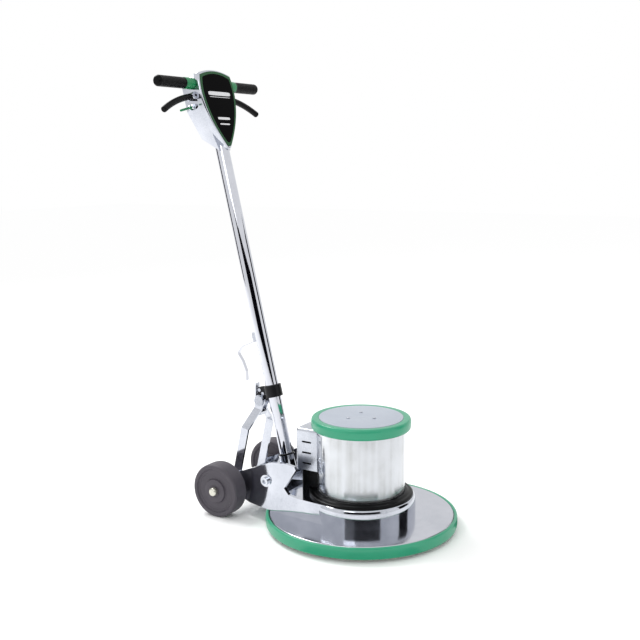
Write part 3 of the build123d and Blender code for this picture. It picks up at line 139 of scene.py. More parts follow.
@dataclass(frozen=True)
class Finish:
    """One real material and how its surface was made."""

    name: str
    slot: str
    base: str
    second: str
    metallic: float
    roughness: tuple[float, float]
    pattern: Pattern
    size_mm: float
    relief_mm: float
    coat: float = 0.0
    sheen: float = 0.0
    waviness_mm: float = 0.0
    specular: float = 0.5

    def _grain(
        self, tree: bpy.types.NodeTree, place: bpy.types.NodeSocket
    ) -> bpy.types.NodeSocket:
        """Builds the field, 0 to 1, that the colour, roughness and relief follow.

        Args:
            tree: The material's node tree.
            place: Object coordinates, in metres.

        Returns:
            The socket that carries the field.
        """
        per_metre = 1 / (self.size_mm * MM)
        if self.pattern is Pattern.BRUSHED:
            drawn = add(
                tree,
                "ShaderNodeMapping",
                values={"Scale": (1, 1, BRUSH_DRAW)},
                links={"Vector": place},
            )
            place = drawn.outputs["Vector"]
        if self.pattern is Pattern.SPUN:
            flat = add(
                tree,
                "ShaderNodeVectorMath",
                {"operation": "MULTIPLY"},
                {1: (1, 1, 0)},
                {0: place},
            )
            radius = add(
                tree,
                "ShaderNodeVectorMath",
                {"operation": "LENGTH"},
                links={0: flat.outputs[0]},
            )
            ring = add(tree, "ShaderNodeCombineXYZ", links={"X": radius.outputs["Value"]})
            place = ring.outputs[0]
        if self.pattern is Pattern.STACKED:
            bands = add(
                tree,
                "ShaderNodeTexWave",
                {"bands_direction": "Z"},
                {"Scale": per_metre * BAND_SCALE, "Distortion": BAND_WANDER},
                {"Vector": place},
            )
            return bands.outputs["Fac"]
        if self.pattern is Pattern.FIBROUS:
            cells = add(
                tree,
                "ShaderNodeTexVoronoi",
                {"feature": "DISTANCE_TO_EDGE"},
                {"Scale": per_metre},
                {"Vector": place},
            )
            return cells.outputs["Distance"]
        noise = add(
            tree,
            "ShaderNodeTexNoise",
            values={"Scale": per_metre, "Detail": NOISE_DETAIL, "Roughness": NOISE_ROUGHNESS},
            links={"Vector": place},
        )
        return noise.outputs["Fac"]

    def material(self) -> bpy.types.Material:
        """Makes the material, or gives the one already made.

        Returns:
            The node-based material.
        """
        if self.name in bpy.data.materials:
            return bpy.data.materials[self.name]
        made = bpy.data.materials.new(self.name)
        made.use_nodes = True
        tree = made.node_tree
        tree.nodes.clear()
        place = add(tree, "ShaderNodeTexCoord").outputs["Object"]
        grain = self._grain(tree, place)
        blotch = add(
            tree,
            "ShaderNodeTexNoise",
            values={
                "Scale": BLOTCH_PER_METRE,
                "Detail": BLOTCH_DETAIL,
                "Roughness": BLOTCH_ROUGHNESS,
            },
            links={"Vector": place},
        ).outputs["Fac"]
        mixed = add(
            tree,
            "ShaderNodeMath",
            {"operation": "MULTIPLY"},
            links={0: grain, 1: blotch},
        ).outputs[0]
        spread = add(
            tree,
            "ShaderNodeMapRange",
            values={"From Min": PATCH_LOW, "From Max": PATCH_HIGH},
            links={"Value": mixed},
        ).outputs["Result"]
        colour = add(
            tree,
            "ShaderNodeMix",
            {"data_type": "RGBA"},
            {6: linear(self.base), 7: linear(self.second)},
            {0: spread},
        ).outputs[2]
        rough = add(
            tree,
            "ShaderNodeMapRange",
            values={"To Min": self.roughness[0], "To Max": self.roughness[1]},
            links={"Value": spread},
        ).outputs["Result"]
        relief = add(
            tree,
            "ShaderNodeBump",
            values={"Strength": RELIEF_STRENGTH, "Distance": self.relief_mm * MM},
            links={"Height": grain},
        ).outputs["Normal"]
        if self.waviness_mm > 0:
            wave = add(
                tree,
                "ShaderNodeTexNoise",
                values={"Scale": WAVE_PER_METRE, "Detail": 0.0},
                links={"Vector": place},
            ).outputs["Fac"]
            relief = add(
                tree,
                "ShaderNodeBump",
                values={"Strength": 1.0, "Distance": self.waviness_mm * MM},
                links={"Height": wave, "Normal": relief},
            ).outputs["Normal"]
        shader = add(
            tree,
            "ShaderNodeBsdfPrincipled",
            values={
                "Metallic": self.metallic,
                "Coat Weight": self.coat,
                "Coat Roughness": COAT_ROUGHNESS,
                "Sheen Weight": self.sheen,
                "Specular IOR Level": self.specular,
            },
            links={"Base Color": colour, "Roughness": rough, "Normal": relief},
        )
        add(tree, "ShaderNodeOutputMaterial", links={"Surface": shader.outputs[0]})
        return made


# Cast aluminium ground and buffed to a mirror: bright, with faint hand-worked waves in its
# reflections.
BUFFED_CASTING = Finish(
    "buffed_cast_aluminium", "polished_casting", "CDD0D8", "B2B6BF", 1.0, (0.06, 0.14),
    Pattern.GRAINED, 3.0, 0.003, waviness_mm=0.45,
)
# Rolled aluminium deck plate, satin ground on a turntable: soft grey with faint rings, drawn at
# 2 mm because the grit's own rings are too fine to show.
SATIN_DECK = Finish(
    "satin_spun_aluminium", "polished_casting", "C6C8D0", "B6B9C2", 1.0, (0.10, 0.20),
    Pattern.SPUN, 2.0, 0.004,
)
# Stainless motor can, polished along its height: bright with soft upright streaks, drawn 16 mm
# wide because the belt's own marks are too fine to show.
MOTOR_CAN = Finish(
    "belt_polished_stainless", "polished_casting", "D2D5DA", "B9BBBC", 1.0, (0.15, 0.24),
    Pattern.BRUSHED, 16.0, 0.03,
)
# Enamelled sheet cover: pale blue-grey, half matt.
ENAMEL_COVER = Finish(
    "baked_enamel_cover", "cover_sheet", "A8AFBA", "A2A9B5", 0.0, (0.38, 0.48),
    Pattern.GRAINED, 1.2, 0.01,
)
# Chrome plate on drawn tube: the sharpest reflections on the machine.
CHROME = Finish(
    "bright_chrome_plate", "chrome_tube", "D3D5DC", "C4C6CE", 1.0, (0.03, 0.07),
    Pattern.BRUSHED, 2.0, 0.002,
)
# Zinc-plated sheet and bar: bluish, slightly cloudy.
ZINC = Finish(
    "bright_zinc_plate", "plated_steel", "CCD0D8", "A6AAB3", 1.0, (0.24, 0.36),
    Pattern.GRAINED, 2.5, 0.006,
)
# Cast collar, blackened with hot oxide: near black with an oily sheen.
BLACK_OXIDE = Finish(
    "black_oxide_casting", "blackened_steel", "0E0E10", "19191C", 0.5, (0.28, 0.42),
    Pattern.GRAINED, 1.5, 0.02, specular=0.4,
)
# Domed nut, nickel washed: warm and pale.
NUT_PLATE = Finish(
    "nickel_washed_nut", "cap_nut_steel", "D6D5CA", "C4C3B6", 0.85, (0.22, 0.32),
    Pattern.GRAINED, 1.5, 0.01,
)
# Raw die casting inside the machine: matt and grainy.
RAW_CASTING = Finish(
    "raw_die_casting", "inner_casting", "A9ABAE", "8E9094", 1.0, (0.45, 0.62),
    Pattern.GRAINED, 1.2, 0.06,
)
# Hobbed and ground gear steel with a film of grease.
GEAR_STEEL = Finish(
    "ground_gear_steel", "gear_steel", "8C8D90", "6A6660", 1.0, (0.22, 0.38),
    Pattern.GRAINED, 1.0, 0.01,
)
# Punched electrical sheets, stacked; drawn at 2 mm because 0.5 mm sheets are too fine to show.
LAMINATED = Finish(
    "stacked_electrical_steel", "lamination", "77787B", "4C4D50", 1.0, (0.40, 0.55),
    Pattern.STACKED, 2.0, 0.15,
)
# Enamelled copper wire, wound and varnished; drawn at 2.5 mm pitch.
COPPER = Finish(
    "varnished_copper_winding", "copper", "B5683A", "7E4220", 1.0, (0.28, 0.42),
    Pattern.STACKED, 2.5, 0.6,
)
# Soft vinyl bumper, moulded: even green with a low sheen.
VINYL = Finish(
    "moulded_green_vinyl", "green_vinyl", "24906C", "2B9974", 0.0, (0.30, 0.42),
    Pattern.GRAINED, 1.5, 0.02, coat=0.15,
)
# ABS collars and rod, moulded in colour.
GREEN_ABS = Finish(
    "moulded_green_abs", "collar_green", "0A7A45", "0D764A", 0.0, (0.30, 0.40),
    Pattern.GRAINED, 1.0, 0.01,
)
# Screen-printed edge of the panel.
PRINTED_GREEN = Finish(
    "screen_printed_green", "border_green", "174F29", "124420", 0.0, (0.25, 0.33),
    Pattern.GRAINED, 0.8, 0.004, specular=0.25,
)
# Gloss polyester label, printed black on its underside.
PANEL_BLACK = Finish(
    "printed_polyester_label", "panel_black", "020203", "040405", 0.0, (0.20, 0.28),
    Pattern.GRAINED, 1.0, 0.003, specular=0.02,
)
# The same label's pale print.
PRINTED_WHITE = Finish(
    "screen_printed_white", "panel_black", "D9DADC", "C9CACC", 0.0, (0.35, 0.45),
    Pattern.GRAINED, 0.8, 0.004,
)
# Moulded black rubber: grips, levers, boot and seal.
BLACK_RUBBER = Finish(
    "moulded_black_rubber", "black_rubber", "050506", "0C0C0E", 0.0, (0.26, 0.40),
    Pattern.GRAINED, 1.2, 0.03, specular=0.10,
)
# Grey non-marking wheel rubber, a little dusty.
WHEEL_RUBBER = Finish(
    "grey_wheel_rubber", "wheel_rubber", "3A363E", "4C4750", 0.0, (0.50, 0.66),
    Pattern.GRAINED, 1.6, 0.04, sheen=0.03,
)
# Black moulded plastic of the fan, switch and capacitors.
BLACK_PLASTIC = Finish(
    "moulded_black_nylon", "black_plastic", "141416", "1E1E21", 0.0, (0.38, 0.50),
    Pattern.GRAINED, 1.0, 0.02,
)
# Pad driver block: dark structural foam.
DRIVER_FOAM = Finish(
    "structural_foam_driver", "driver_board", "34373A", "2A2C2F", 0.0, (0.55, 0.70),
    Pattern.GRAINED, 4.0, 0.10,
)
# Clutch plate: sand-cast iron.
CAST_IRON = Finish(
    "sand_cast_iron", "clutch_metal", "5A5B5E", "444548", 1.0, (0.50, 0.65),
    Pattern.GRAINED, 1.5, 0.10,
)
# Non-woven polyester pad: pale tangled fibres, drawn at 3 mm.
PAD_FIBRE = Finish(
    "non_woven_polyester_fibre", "pad_fibre", "D8D4C8", "BDB8AA", 0.0, (0.85, 0.95),
    Pattern.FIBROUS, 3.0, 0.8, sheen=0.2,
)

CAD_FINISHES: dict[str, Finish] = {
    "polished_casting": BUFFED_CASTING,
    "cover_sheet": ENAMEL_COVER,
    "chrome_tube": CHROME,
    "plated_steel": ZINC,
    "blackened_steel": BLACK_OXIDE,
    "cap_nut_steel": NUT_PLATE,
    "inner_casting": RAW_CASTING,
    "gear_steel": GEAR_STEEL,
    "lamination": LAMINATED,
    "copper": COPPER,
    "green_vinyl": VINYL,
    "collar_green": GREEN_ABS,
    "border_green": PRINTED_GREEN,
    "panel_black": PANEL_BLACK,
    "black_rubber": BLACK_RUBBER,
    "wheel_rubber": WHEEL_RUBBER,
    "black_plastic": BLACK_PLASTIC,
    "driver_board": DRIVER_FOAM,
    "clutch_metal": CAST_IRON,
    "pad_fibre": PAD_FIBRE,
}


# ------------------------------------------------------------------ surfaces
DOUBLED = 2e-6  # points nearer than this, in metres, are one
DEGENERATE = 1e-7
SIDE_SHARE = 0.45  # the most of a side that a rounded corner may take


def grid_faces(rows: int, columns: int, wrap_rows: bool, wrap_columns: bool) -> np.ndarray:
    """Numbers the four corners of each face of a grid of points, row by row.

    Args:
        rows: Points along the first parameter.
        columns: Points along the second parameter.
        wrap_rows: Whether the last row joins the first.
        wrap_columns: Whether the last column joins the first.

    Returns:
        An array of four point numbers a face.
    """
    row = np.arange(rows if wrap_rows else rows - 1)[:, None]
    column = np.arange(columns if wrap_columns else columns - 1)[None, :]
    below = (row + 1) % rows
    right = (column + 1) % columns
    corners = [
        row * columns + column,
        row * columns + right,
        below * columns + right,
        below * columns + column,
    ]
    grid = [np.broadcast_to(c, (row.size, column.size)) for c in corners]
    return np.stack(grid, -1).reshape(-1, 4)


def solid(
    name: str, points: np.ndarray, faces: np.ndarray, crease: float = CREASE
) -> bpy.types.Object:
    """Makes an object from points and faces.

    It is merged at its poles, faces outwards and is shaded smooth between its crisp edges.

    Args:
        name: The piece's name.
        points: Corners, in metres, in the shared frame.
        faces: Four corner numbers a face.
        crease: Edges sharper than this, in degrees, stay crisp.

    Returns:
        The new object, at the origin.
    """
    mesh = bpy.data.meshes.new(name)
    mesh.from_pydata(points.tolist(), [], faces.tolist())
    work = bmesh.new()
    work.from_mesh(mesh)
    bmesh.ops.remove_doubles(work, verts=work.verts, dist=DOUBLED)
    bmesh.ops.dissolve_degenerate(work, edges=work.edges, dist=DEGENERATE)
    bmesh.ops.recalc_face_normals(work, faces=work.faces)
    work.to_mesh(mesh)
    work.free()
    return placed(name, mesh, crease)


def placed(name: str, mesh: bpy.types.Mesh, crease: float) -> bpy.types.Object:
    """Puts a finished mesh in the scene, at the origin, shaded smooth between its crisp edges.

    Args:
        name: The object's name.
        mesh: Its mesh.
        crease: Edges sharper than this, in degrees, stay crisp.

    Returns:
        The new object.
    """
    mesh.shade_smooth()
    mesh.set_sharp_from_angle(angle=radians(crease))
    piece = bpy.data.objects.new(name, mesh)
    bpy.context.scene.collection.objects.link(piece)
    return piece


def rounded(outline: list[tuple[float, float]], radius: float, steps: int = 6) -> np.ndarray:
    """Rounds each corner of a closed outline.

    A corner becomes a quadratic curve that starts and ends one radius from it, or at most 0.45
    of a side: (1-t)^2 start + 2t(1-t) corner + t^2 end.

    Args:
        outline: Corners in order, in millimetres.
        radius: The distance from a corner at which its curve starts.
        steps: Points on each curve.

    Returns:
        Points of the rounded outline, in metres.
    """
    corner = np.array(outline, float)
    before = np.roll(corner, 1, 0) - corner
    after = np.roll(corner, -1, 0) - corner
    size_before = np.linalg.norm(before, axis=1, keepdims=True)
    size_after = np.linalg.norm(after, axis=1, keepdims=True)
    start = corner + before / size_before * np.minimum(radius, SIDE_SHARE * size_before)
    end = corner + after / size_after * np.minimum(radius, SIDE_SHARE * size_after)
    t = np.linspace(0, 1, steps)[None, :, None]
    into = (1 - t) ** 2 * start[:, None] + 2 * t * (1 - t) * corner[:, None]
    curve = into + t**2 * end[:, None]
    return curve.reshape(-1, 2) * MM


def lathe(
    name: str,
    profile: np.ndarray,
    centre: np.ndarray,
    axis: np.ndarray,
    steps: int = ROUND_STEPS,
    crease: float = CREASE,
) -> bpy.types.Object:
    """Turns a closed profile about an axis.

    A point is centre + height * axis + radius * (cos a, sin a) across the axis.

    Args:
        name: The piece's name.
        profile: Radius and height of each point, in metres.
        centre: A point on the axis, where height is 0.
        axis: Unit vector along the axis.
        steps: Facets round the axis.
        crease: Edges sharper than this, in degrees, stay crisp.

    Returns:
        The turned piece.
    """
    side = np.cross(axis, ACROSS if abs(axis[0]) < 0.9 else UPRIGHT)
    side = side / np.linalg.norm(side)
    other = np.cross(axis, side)
    angle = np.linspace(0, 2 * pi, steps, endpoint=False)
    out = np.cos(angle)[:, None] * side + np.sin(angle)[:, None] * other
    points = centre + profile[None, :, 1:] * axis + profile[None, :, :1] * out[:, None, :]
    faces = grid_faces(steps, len(profile), True, True)
    return solid(name, points.reshape(-1, 3), faces, crease)


def finished(
    piece: bpy.types.Object, finish: Finish, body: str, *nodes: str
) -> bpy.types.Object:
    """Gives a new piece its material and body, and hides the nodes that it stands for.

    Args:
        piece: The new piece.
        finish: Its finish.
        body: The body that it rides on.
        nodes: Nodes that it replaces.

    Returns:
        The same piece.
    """
    piece.data.materials.append(finish.material())
    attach(piece, body)
    if nodes:
        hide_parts(*nodes)
    faces = len(piece.data.polygons)
    LOG.info("%s on %s: %s, %d faces", piece.name, body, finish.name, faces)
    return piece


def on_handle(x: float, rear: float, height: float) -> np.ndarray:
    """Place on the handle, in metres.

    Args:
        x: Millimetres across.
        rear: Millimetres behind the tube's axis.
        height: Millimetres up the tube from its pivot.

    Returns:
        The point in the shared frame.
    """
    return PIVOT + (x * ACROSS + rear * REAR + height * UP) * MM


# ------------------------------------------------------------------ sub-assemblies
@dataclass
class Deck:
    """Round deck with its bumper and pad, sizes in millimetres."""

    plate_radius: float = 253.0
    bumper_radius: float = 262.5
    bumper_low: float = 9.5
    top: float = 41.0
    pad_radius: float = 241.3
    pad_height: float = 18.0
    fray: float = 0.8  # how far the pad's edge wanders
    fray_waves: tuple[int, int] = (37, 23)  # waves round the edge
    fray_climb: float = 400.0  # how fast the waves shift with height, per metre
    fray_fade: int = 8  # how quickly they die away towards the middle

    def bumper(self) -> None:
        """Turns the vinyl ring: a rounded section, upright outside and flat against the plate."""
        outline = [
            (self.plate_radius, self.bumper_low),
            (self.bumper_radius - 2.0, self.bumper_low),
            (self.bumper_radius, self.bumper_low + 8),
            (self.bumper_radius, self.top - 8),
            (self.bumper_radius - 1.5, self.top),
            (self.plate_radius, self.top),
        ]
        ring = lathe("deck_bumper_ring", rounded(outline, 6.0), np.zeros(3), UPRIGHT)
        finished(ring, VINYL, "base", "deck_bumper")

    def pad(self) -> None:
        """Turns the fibre pad, whose edge is uneven.

        A point at bearing a moves outwards by fray * sin(37a) * sin(23a + climb * height), times
        its share of the pad's radius to the power of fade, so that the middle stays still.
        """
        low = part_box("polishing_pad")[0].z / MM
        edge = self.pad_radius - 1
        outline = [(0.0, low), (edge, low), (edge, self.pad_height), (0.0, self.pad_height)]
        disc = lathe("polishing_pad_fibre", rounded(outline, 2.5), np.zeros(3), UPRIGHT)
        mesh = disc.data
        co = np.empty(len(mesh.vertices) * 3)
        mesh.vertices.foreach_get("co", co)
        co = co.reshape(-1, 3)
        angle = np.arctan2(co[:, 1], co[:, 0])
        reach = np.hypot(co[:, 0], co[:, 1]) / (self.pad_radius * MM)
        first, second = self.fray_waves
        waves = np.sin(first * angle) * np.sin(second * angle + self.fray_climb * co[:, 2])
        push = 1 + self.fray / self.pad_radius * waves * reach**self.fray_fade
        co[:, :2] *= push[:, None]
        mesh.vertices.foreach_set("co", co.ravel())
        mesh.update()
        finished(disc, PAD_FIBRE, "spindle", "polishing_pad")

    def dress(self) -> None:
        """Builds the deck's round pieces."""
        self.bumper()
        self.pad()


@dataclass
class Motor:
    """Motor can with its cover, bumper and seal, sizes in millimetres."""

    radius: float = 119.5
    wall: float = 3.5
    low: float = 93.5
    shell_top: float = 296.0
    cover_radius: float = 114.3
    cover_edge: float = 303.0
    cover_top: float = 307.5
    cover_flat: float = 105.3  # inner radius of the cover's rolled edge
    cover_sheet: float = 3.0
    bumper_radius: float = 135.6
    bumper_low: float = 277.0
    seal_radius: float = 142.0
    seal_top: float = 104.0

    def can(self) -> None:
        """Turns the polished can."""
        outline = [
            (self.radius - self.wall, self.low),
            (self.radius, self.low),
            (self.radius, self.shell_top),
            (self.radius - self.wall, self.shell_top),
        ]
        shell = lathe("motor_can", rounded(outline, 0.8, 4), np.zeros(3), UPRIGHT, CAN_STEPS)
        finished(shell, MOTOR_CAN, "base", "motor_shell")

    def bumper(self) -> None:
        """Turns the vinyl ring round the can's top, with a lip that reaches in to the cover."""
        outline = [
            (self.radius, self.bumper_low),
            (self.bumper_radius - 2.5, self.bumper_low),
            (self.bumper_radius, self.bumper_low + 7),
            (self.bumper_radius, self.cover_top - 8),
            (self.bumper_radius - 3.0, self.cover_top - 0.5),
            (self.cover_radius, self.cover_top - 0.5),
            (self.cover_radius, self.cover_edge),
            (self.radius, self.cover_edge),
        ]
        ring = lathe("motor_bumper_ring", rounded(outline, 4.5), np.zeros(3), UPRIGHT)
        finished(ring, VINYL, "base", "motor_bumper")

    def cover(self) -> None:
        """Turns the pressed cover: a shallow dish with a rolled edge."""
        outline = [
            (0.0, self.cover_top - self.cover_sheet),
            (self.cover_flat, self.cover_top - self.cover_sheet),
            (self.cover_flat, self.shell_top),
            (self.radius, self.shell_top),
            (self.radius, self.cover_edge),
            (self.cover_radius, self.cover_edge),
            (self.cover_radius, self.cover_top),
            (0.0, self.cover_top),
        ]
        plate = lathe("motor_cover_plate", rounded(outline, 1.2, 4), np.zeros(3), UPRIGHT)
        finished(plate, ENAMEL_COVER, "base", "motor_top_cover")

    def seal(self) -> None:
        """Turns the black ring at the can's foot: a flat flange with a raised inner lip."""
        outline = [
            (self.radius, self.low),
            (self.seal_radius, self.low),
            (self.seal_radius, self.low + 4.5),
            (138, 100.5),
            (131, 101),
            (128, 102.5),
            (125, self.seal_top),
            (self.radius, self.seal_top),
        ]
        ring = lathe("motor_seal_lip", rounded(outline, 1.2, 5), np.zeros(3), UPRIGHT)
        finished(ring, BLACK_RUBBER, "base", "motor_seal_ring")

    def dress(self) -> None:
        """Builds the motor's round pieces."""
        self.can()
        self.bumper()
        self.cover()
        self.seal()


@dataclass
class Undercarriage:
    """Transport wheels behind the deck, sizes in millimetres."""

    radius: float = 76.2
    half_width: float = 25.75
    bore: float = 8.05
    hub: float = 33.0
    rim: float = 60.0
    recess: float = 6.0
    step: float = 1.2  # a low step between the recess and the rim
    moulded_corner: float = 1.6
    crease: float = 60.0
    places: dict[str, float] = field(
        default_factory=lambda: {"wheel_left": -137.0, "wheel_right": 137.0}
    )

    def half(self) -> list[tuple[float, float]]:
        """Gives the wheel's outline on its outer side, from the bore to the middle of the tread.

        Returns:
            Radius and distance from the middle of each corner.
        """
        face = self.half_width
        return [
            (self.bore, face - 1.0),
            (self.bore + 8, face - 1.0),
            (self.bore + 9, face),
            (self.hub, face),
            (self.hub + 2, face - self.recess),
            (self.rim - 6, face - self.recess),
            (self.rim - 5, face - self.recess + self.step),
            (self.rim, face - self.recess + self.step),
            (self.rim + 3, face),
            (self.radius - 4.5, face),
            (self.radius - 0.6, face - 4.5),
            (self.radius, face - 12),
        ]

    def wheel(self, node: str, x: float) -> None:
        """Turns one wheel about the axle.

        Args:
            node: The node that it stands for, which is also its body.
            x: Middle of the wheel along the axle.
        """
        outer = self.half()
        inner = [(r, -h) for r, h in reversed(outer)]
        low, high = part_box(node)
        centre = np.array([x * MM, (low.y + high.y) / 2, (low.z + high.z) / 2])
        profile = rounded(outer + inner, self.moulded_corner)
        tyre = lathe(f"{node}_tyre", profile, centre, ACROSS, WHEEL_STEPS, self.crease)
        finished(tyre, WHEEL_RUBBER, node, node)

    def dress(self) -> None:
        """Builds both wheels."""
        for node, x in self.places.items():
            self.wheel(node, x)


@dataclass
class Handle:
    """Tube, head, grips and panel of the handle, sizes in millimetres."""

    tube_radius: float = 19.05
    tube_wall: float = 1.8
    tube_low: float = 20.0
    tube_top: float = 1010.0
    grip_height: float = 1109.8
    grip_radius: float = 15.4
    grip_end: float = 222.0
    grip_bore: float = 11.0
    rib_pitch: float = 5.0
    rib_depth: float = 0.5
    rib_points: int = 241
    dome: float = 9.0  # length and rounding of a grip's end
    proud: float = 0.2  # how far the ribs stay inside the grip's radius
    collars: tuple[tuple[float, float], ...] = ((-112.0, -63.0), (63.0, 112.0))
    bar_corner: float = 0.35
    bar_steps: int = 48
    # share of the bar's half size, and height over the panel, from the back's middle to the front's
    bar_section: tuple[tuple[float, float], ...] = (
        (0.0, -0.05), (1.0, -0.05), (1.0, 0.22), (0.97, 0.25), (0.0, 0.25),
    )
    # a printed bar's name, middle across, height up the handle, width and height
    bars: tuple[tuple[str, float, float, float, float], ...] = (
        ("panel_title_bar", 2.0, 1078.0, 98.0, 11.0),
        ("panel_title_rule", 2.0, 1068.0, 92.0, 1.6),
        ("panel_note_bar", 0.0, 1008.0, 54.0, 7.0),
        ("panel_note_rule", 0.0, 992.0, 44.0, 4.0),
    )

    def tube(self) -> None:
        """Turns the chrome tube about its leaning axis."""
        outline = [
            (self.tube_radius - self.tube_wall, self.tube_low),
            (self.tube_radius, self.tube_low),
            (self.tube_radius, self.tube_top),
            (self.tube_radius - self.tube_wall, self.tube_top),
        ]
        tube = lathe("chrome_tube", rounded(outline, 0.6, 4), PIVOT, UP, TUBE_STEPS)
        finished(tube, CHROME, "handle", "handle_tube")

    def grip(self, node: str, side: int) -> None:
        """Turns a ribbed grip with a domed end.

        Its radius is radius - depth * (1 - cos(2 pi height / pitch)) / 2.

        Args:
            node: The node that it stands for.
            side: -1 on the left, 1 on the right.
        """
        start, end = self.collars[1][1], self.grip_end
        outside = self.grip_radius - self.proud
        height = np.linspace(start + 6, end - 12, self.rib_points)
        ripple = self.rib_depth * (1 - np.cos(2 * pi * (height - start) / self.rib_pitch)) / 2
        ribs = np.stack([outside - ripple, height], 1)
        turn = np.linspace(0, pi / 2, 12)
        dome_radius = self.grip_radius - self.dome + (self.dome - self.proud) * np.cos(turn)
        dome = np.stack([dome_radius, end - self.dome + self.dome * np.sin(turn)], 1)
        inner = np.array([(self.grip_bore, start), (outside, start)])
        tail = np.array([(0.0, end), (0.0, end - 3), (self.grip_bore, end - 3)])
        profile = np.concatenate([inner, ribs, dome, tail]) * MM
        centre = on_handle(0, 0, self.grip_height)
        sleeve = lathe(f"{node}_sleeve", profile, centre, side * ACROSS, SMALL_STEPS)
        finished(sleeve, BLACK_RUBBER, "handle", node)

    def grip_collars(self) -> None:
        """Turns the two green collars as one piece of two rings, as the node holds them."""
        rings = []
        centre = on_handle(0, 0, self.grip_height)
        for start, end in self.collars:
            outline = [
                (self.grip_bore, start),
                (self.grip_radius + 0.5, start),
                (self.grip_radius + 0.5, end),
                (self.grip_bore, end),
            ]
            rings.append(lathe("collar_ring", rounded(outline, 1.5), centre, ACROSS, SMALL_STEPS))
        both = joined("grip_collar_rings", rings)
        finished(both, GREEN_ABS, "handle", "grip_collars")

    def print_bar(
        self, name: str, middle: float, height: float, wide: float, tall: float
    ) -> None:
        """Lays a plain printed bar on the panel, a thin plate with a rounded outline.

        The outline is a superellipse: (wide/2 * |cos a|^n, tall/2 * |sin a|^n), each with its
        sign, where n is bar_corner.

        Args:
            name: The piece's name.
            middle: Millimetres across of its middle.
            height: Millimetres up the handle of its middle.
            wide: Its width.
            tall: Its height.
        """
        mesh = frame["nodes"]["face_panel"].data
        co = np.empty(len(mesh.vertices) * 3)
        mesh.vertices.foreach_get("co", co)
        front = float(((co.reshape(-1, 3) - PIVOT) @ -REAR).max())
        angle = np.linspace(0, 2 * pi, self.bar_steps, endpoint=False)
        wave, rise = np.cos(angle), np.sin(angle)
        across = middle + wide / 2 * np.sign(wave) * np.abs(wave) ** self.bar_corner
        up = height + tall / 2 * np.sign(rise) * np.abs(rise) ** self.bar_corner
        rows = []
        for share, lift in self.bar_section:
            x = (middle + (across - middle) * share)[:, None]
            z = (height + (up - height) * share)[:, None]
            rows.append(PIVOT + (x * ACROSS + z * UP) * MM - REAR * (front + lift * MM))
        piece = solid(name, np.concatenate(rows), grid_faces(len(rows), angle.size, False, True))
        finished(piece, PRINTED_WHITE, "handle")

    def dress(self) -> None:
        """Builds the handle's pieces."""
        self.tube()
        self.grip_collars()
        self.grip("grip_left", -1)
        self.grip("grip_right", 1)
        for bar in self.bars:
            self.print_bar(*bar)


def joined(name: str, parts: list[bpy.types.Object]) -> bpy.types.Object:
    """Joins several new objects into one.

    Args:
        name: The joined piece's name.
        parts: The objects, which are used up.

    Returns:
        The joined piece.
    """
    work = bmesh.new()
    for part in parts:
        work.from_mesh(part.data)
    mesh = bpy.data.meshes.new(name)
    work.to_mesh(mesh)
    work.free()
    for part in parts:
        bpy.data.objects.remove(part)
    return placed(name, mesh, CREASE)


# nodes whose finish isn't the one that their slot gives
PLACED_FINISHES: dict[str, Finish] = {
    "deck": SATIN_DECK,
    "brace_yoke": BUFFED_CASTING,
}


def paint(node: str, finish: Finish) -> None:
    """Gives a node that stays as it is its finish.

    Args:
        node: The node.
        finish: Its finish.
    """
    piece = frame["nodes"][node]
    if not piece.material_slots:
        piece.data.materials.append(None)
    for place in piece.material_slots:
        place.link = "OBJECT"
        place.material = finish.material()


def paint_nodes() -> None:
    """Gives every node its own finish, or that of its slot in the record."""
    for part in frame["record"]["subparts"]:
        node = part["node"]
        paint(node, PLACED_FINISHES.get(node, CAD_FINISHES[part["material_slot"]]))


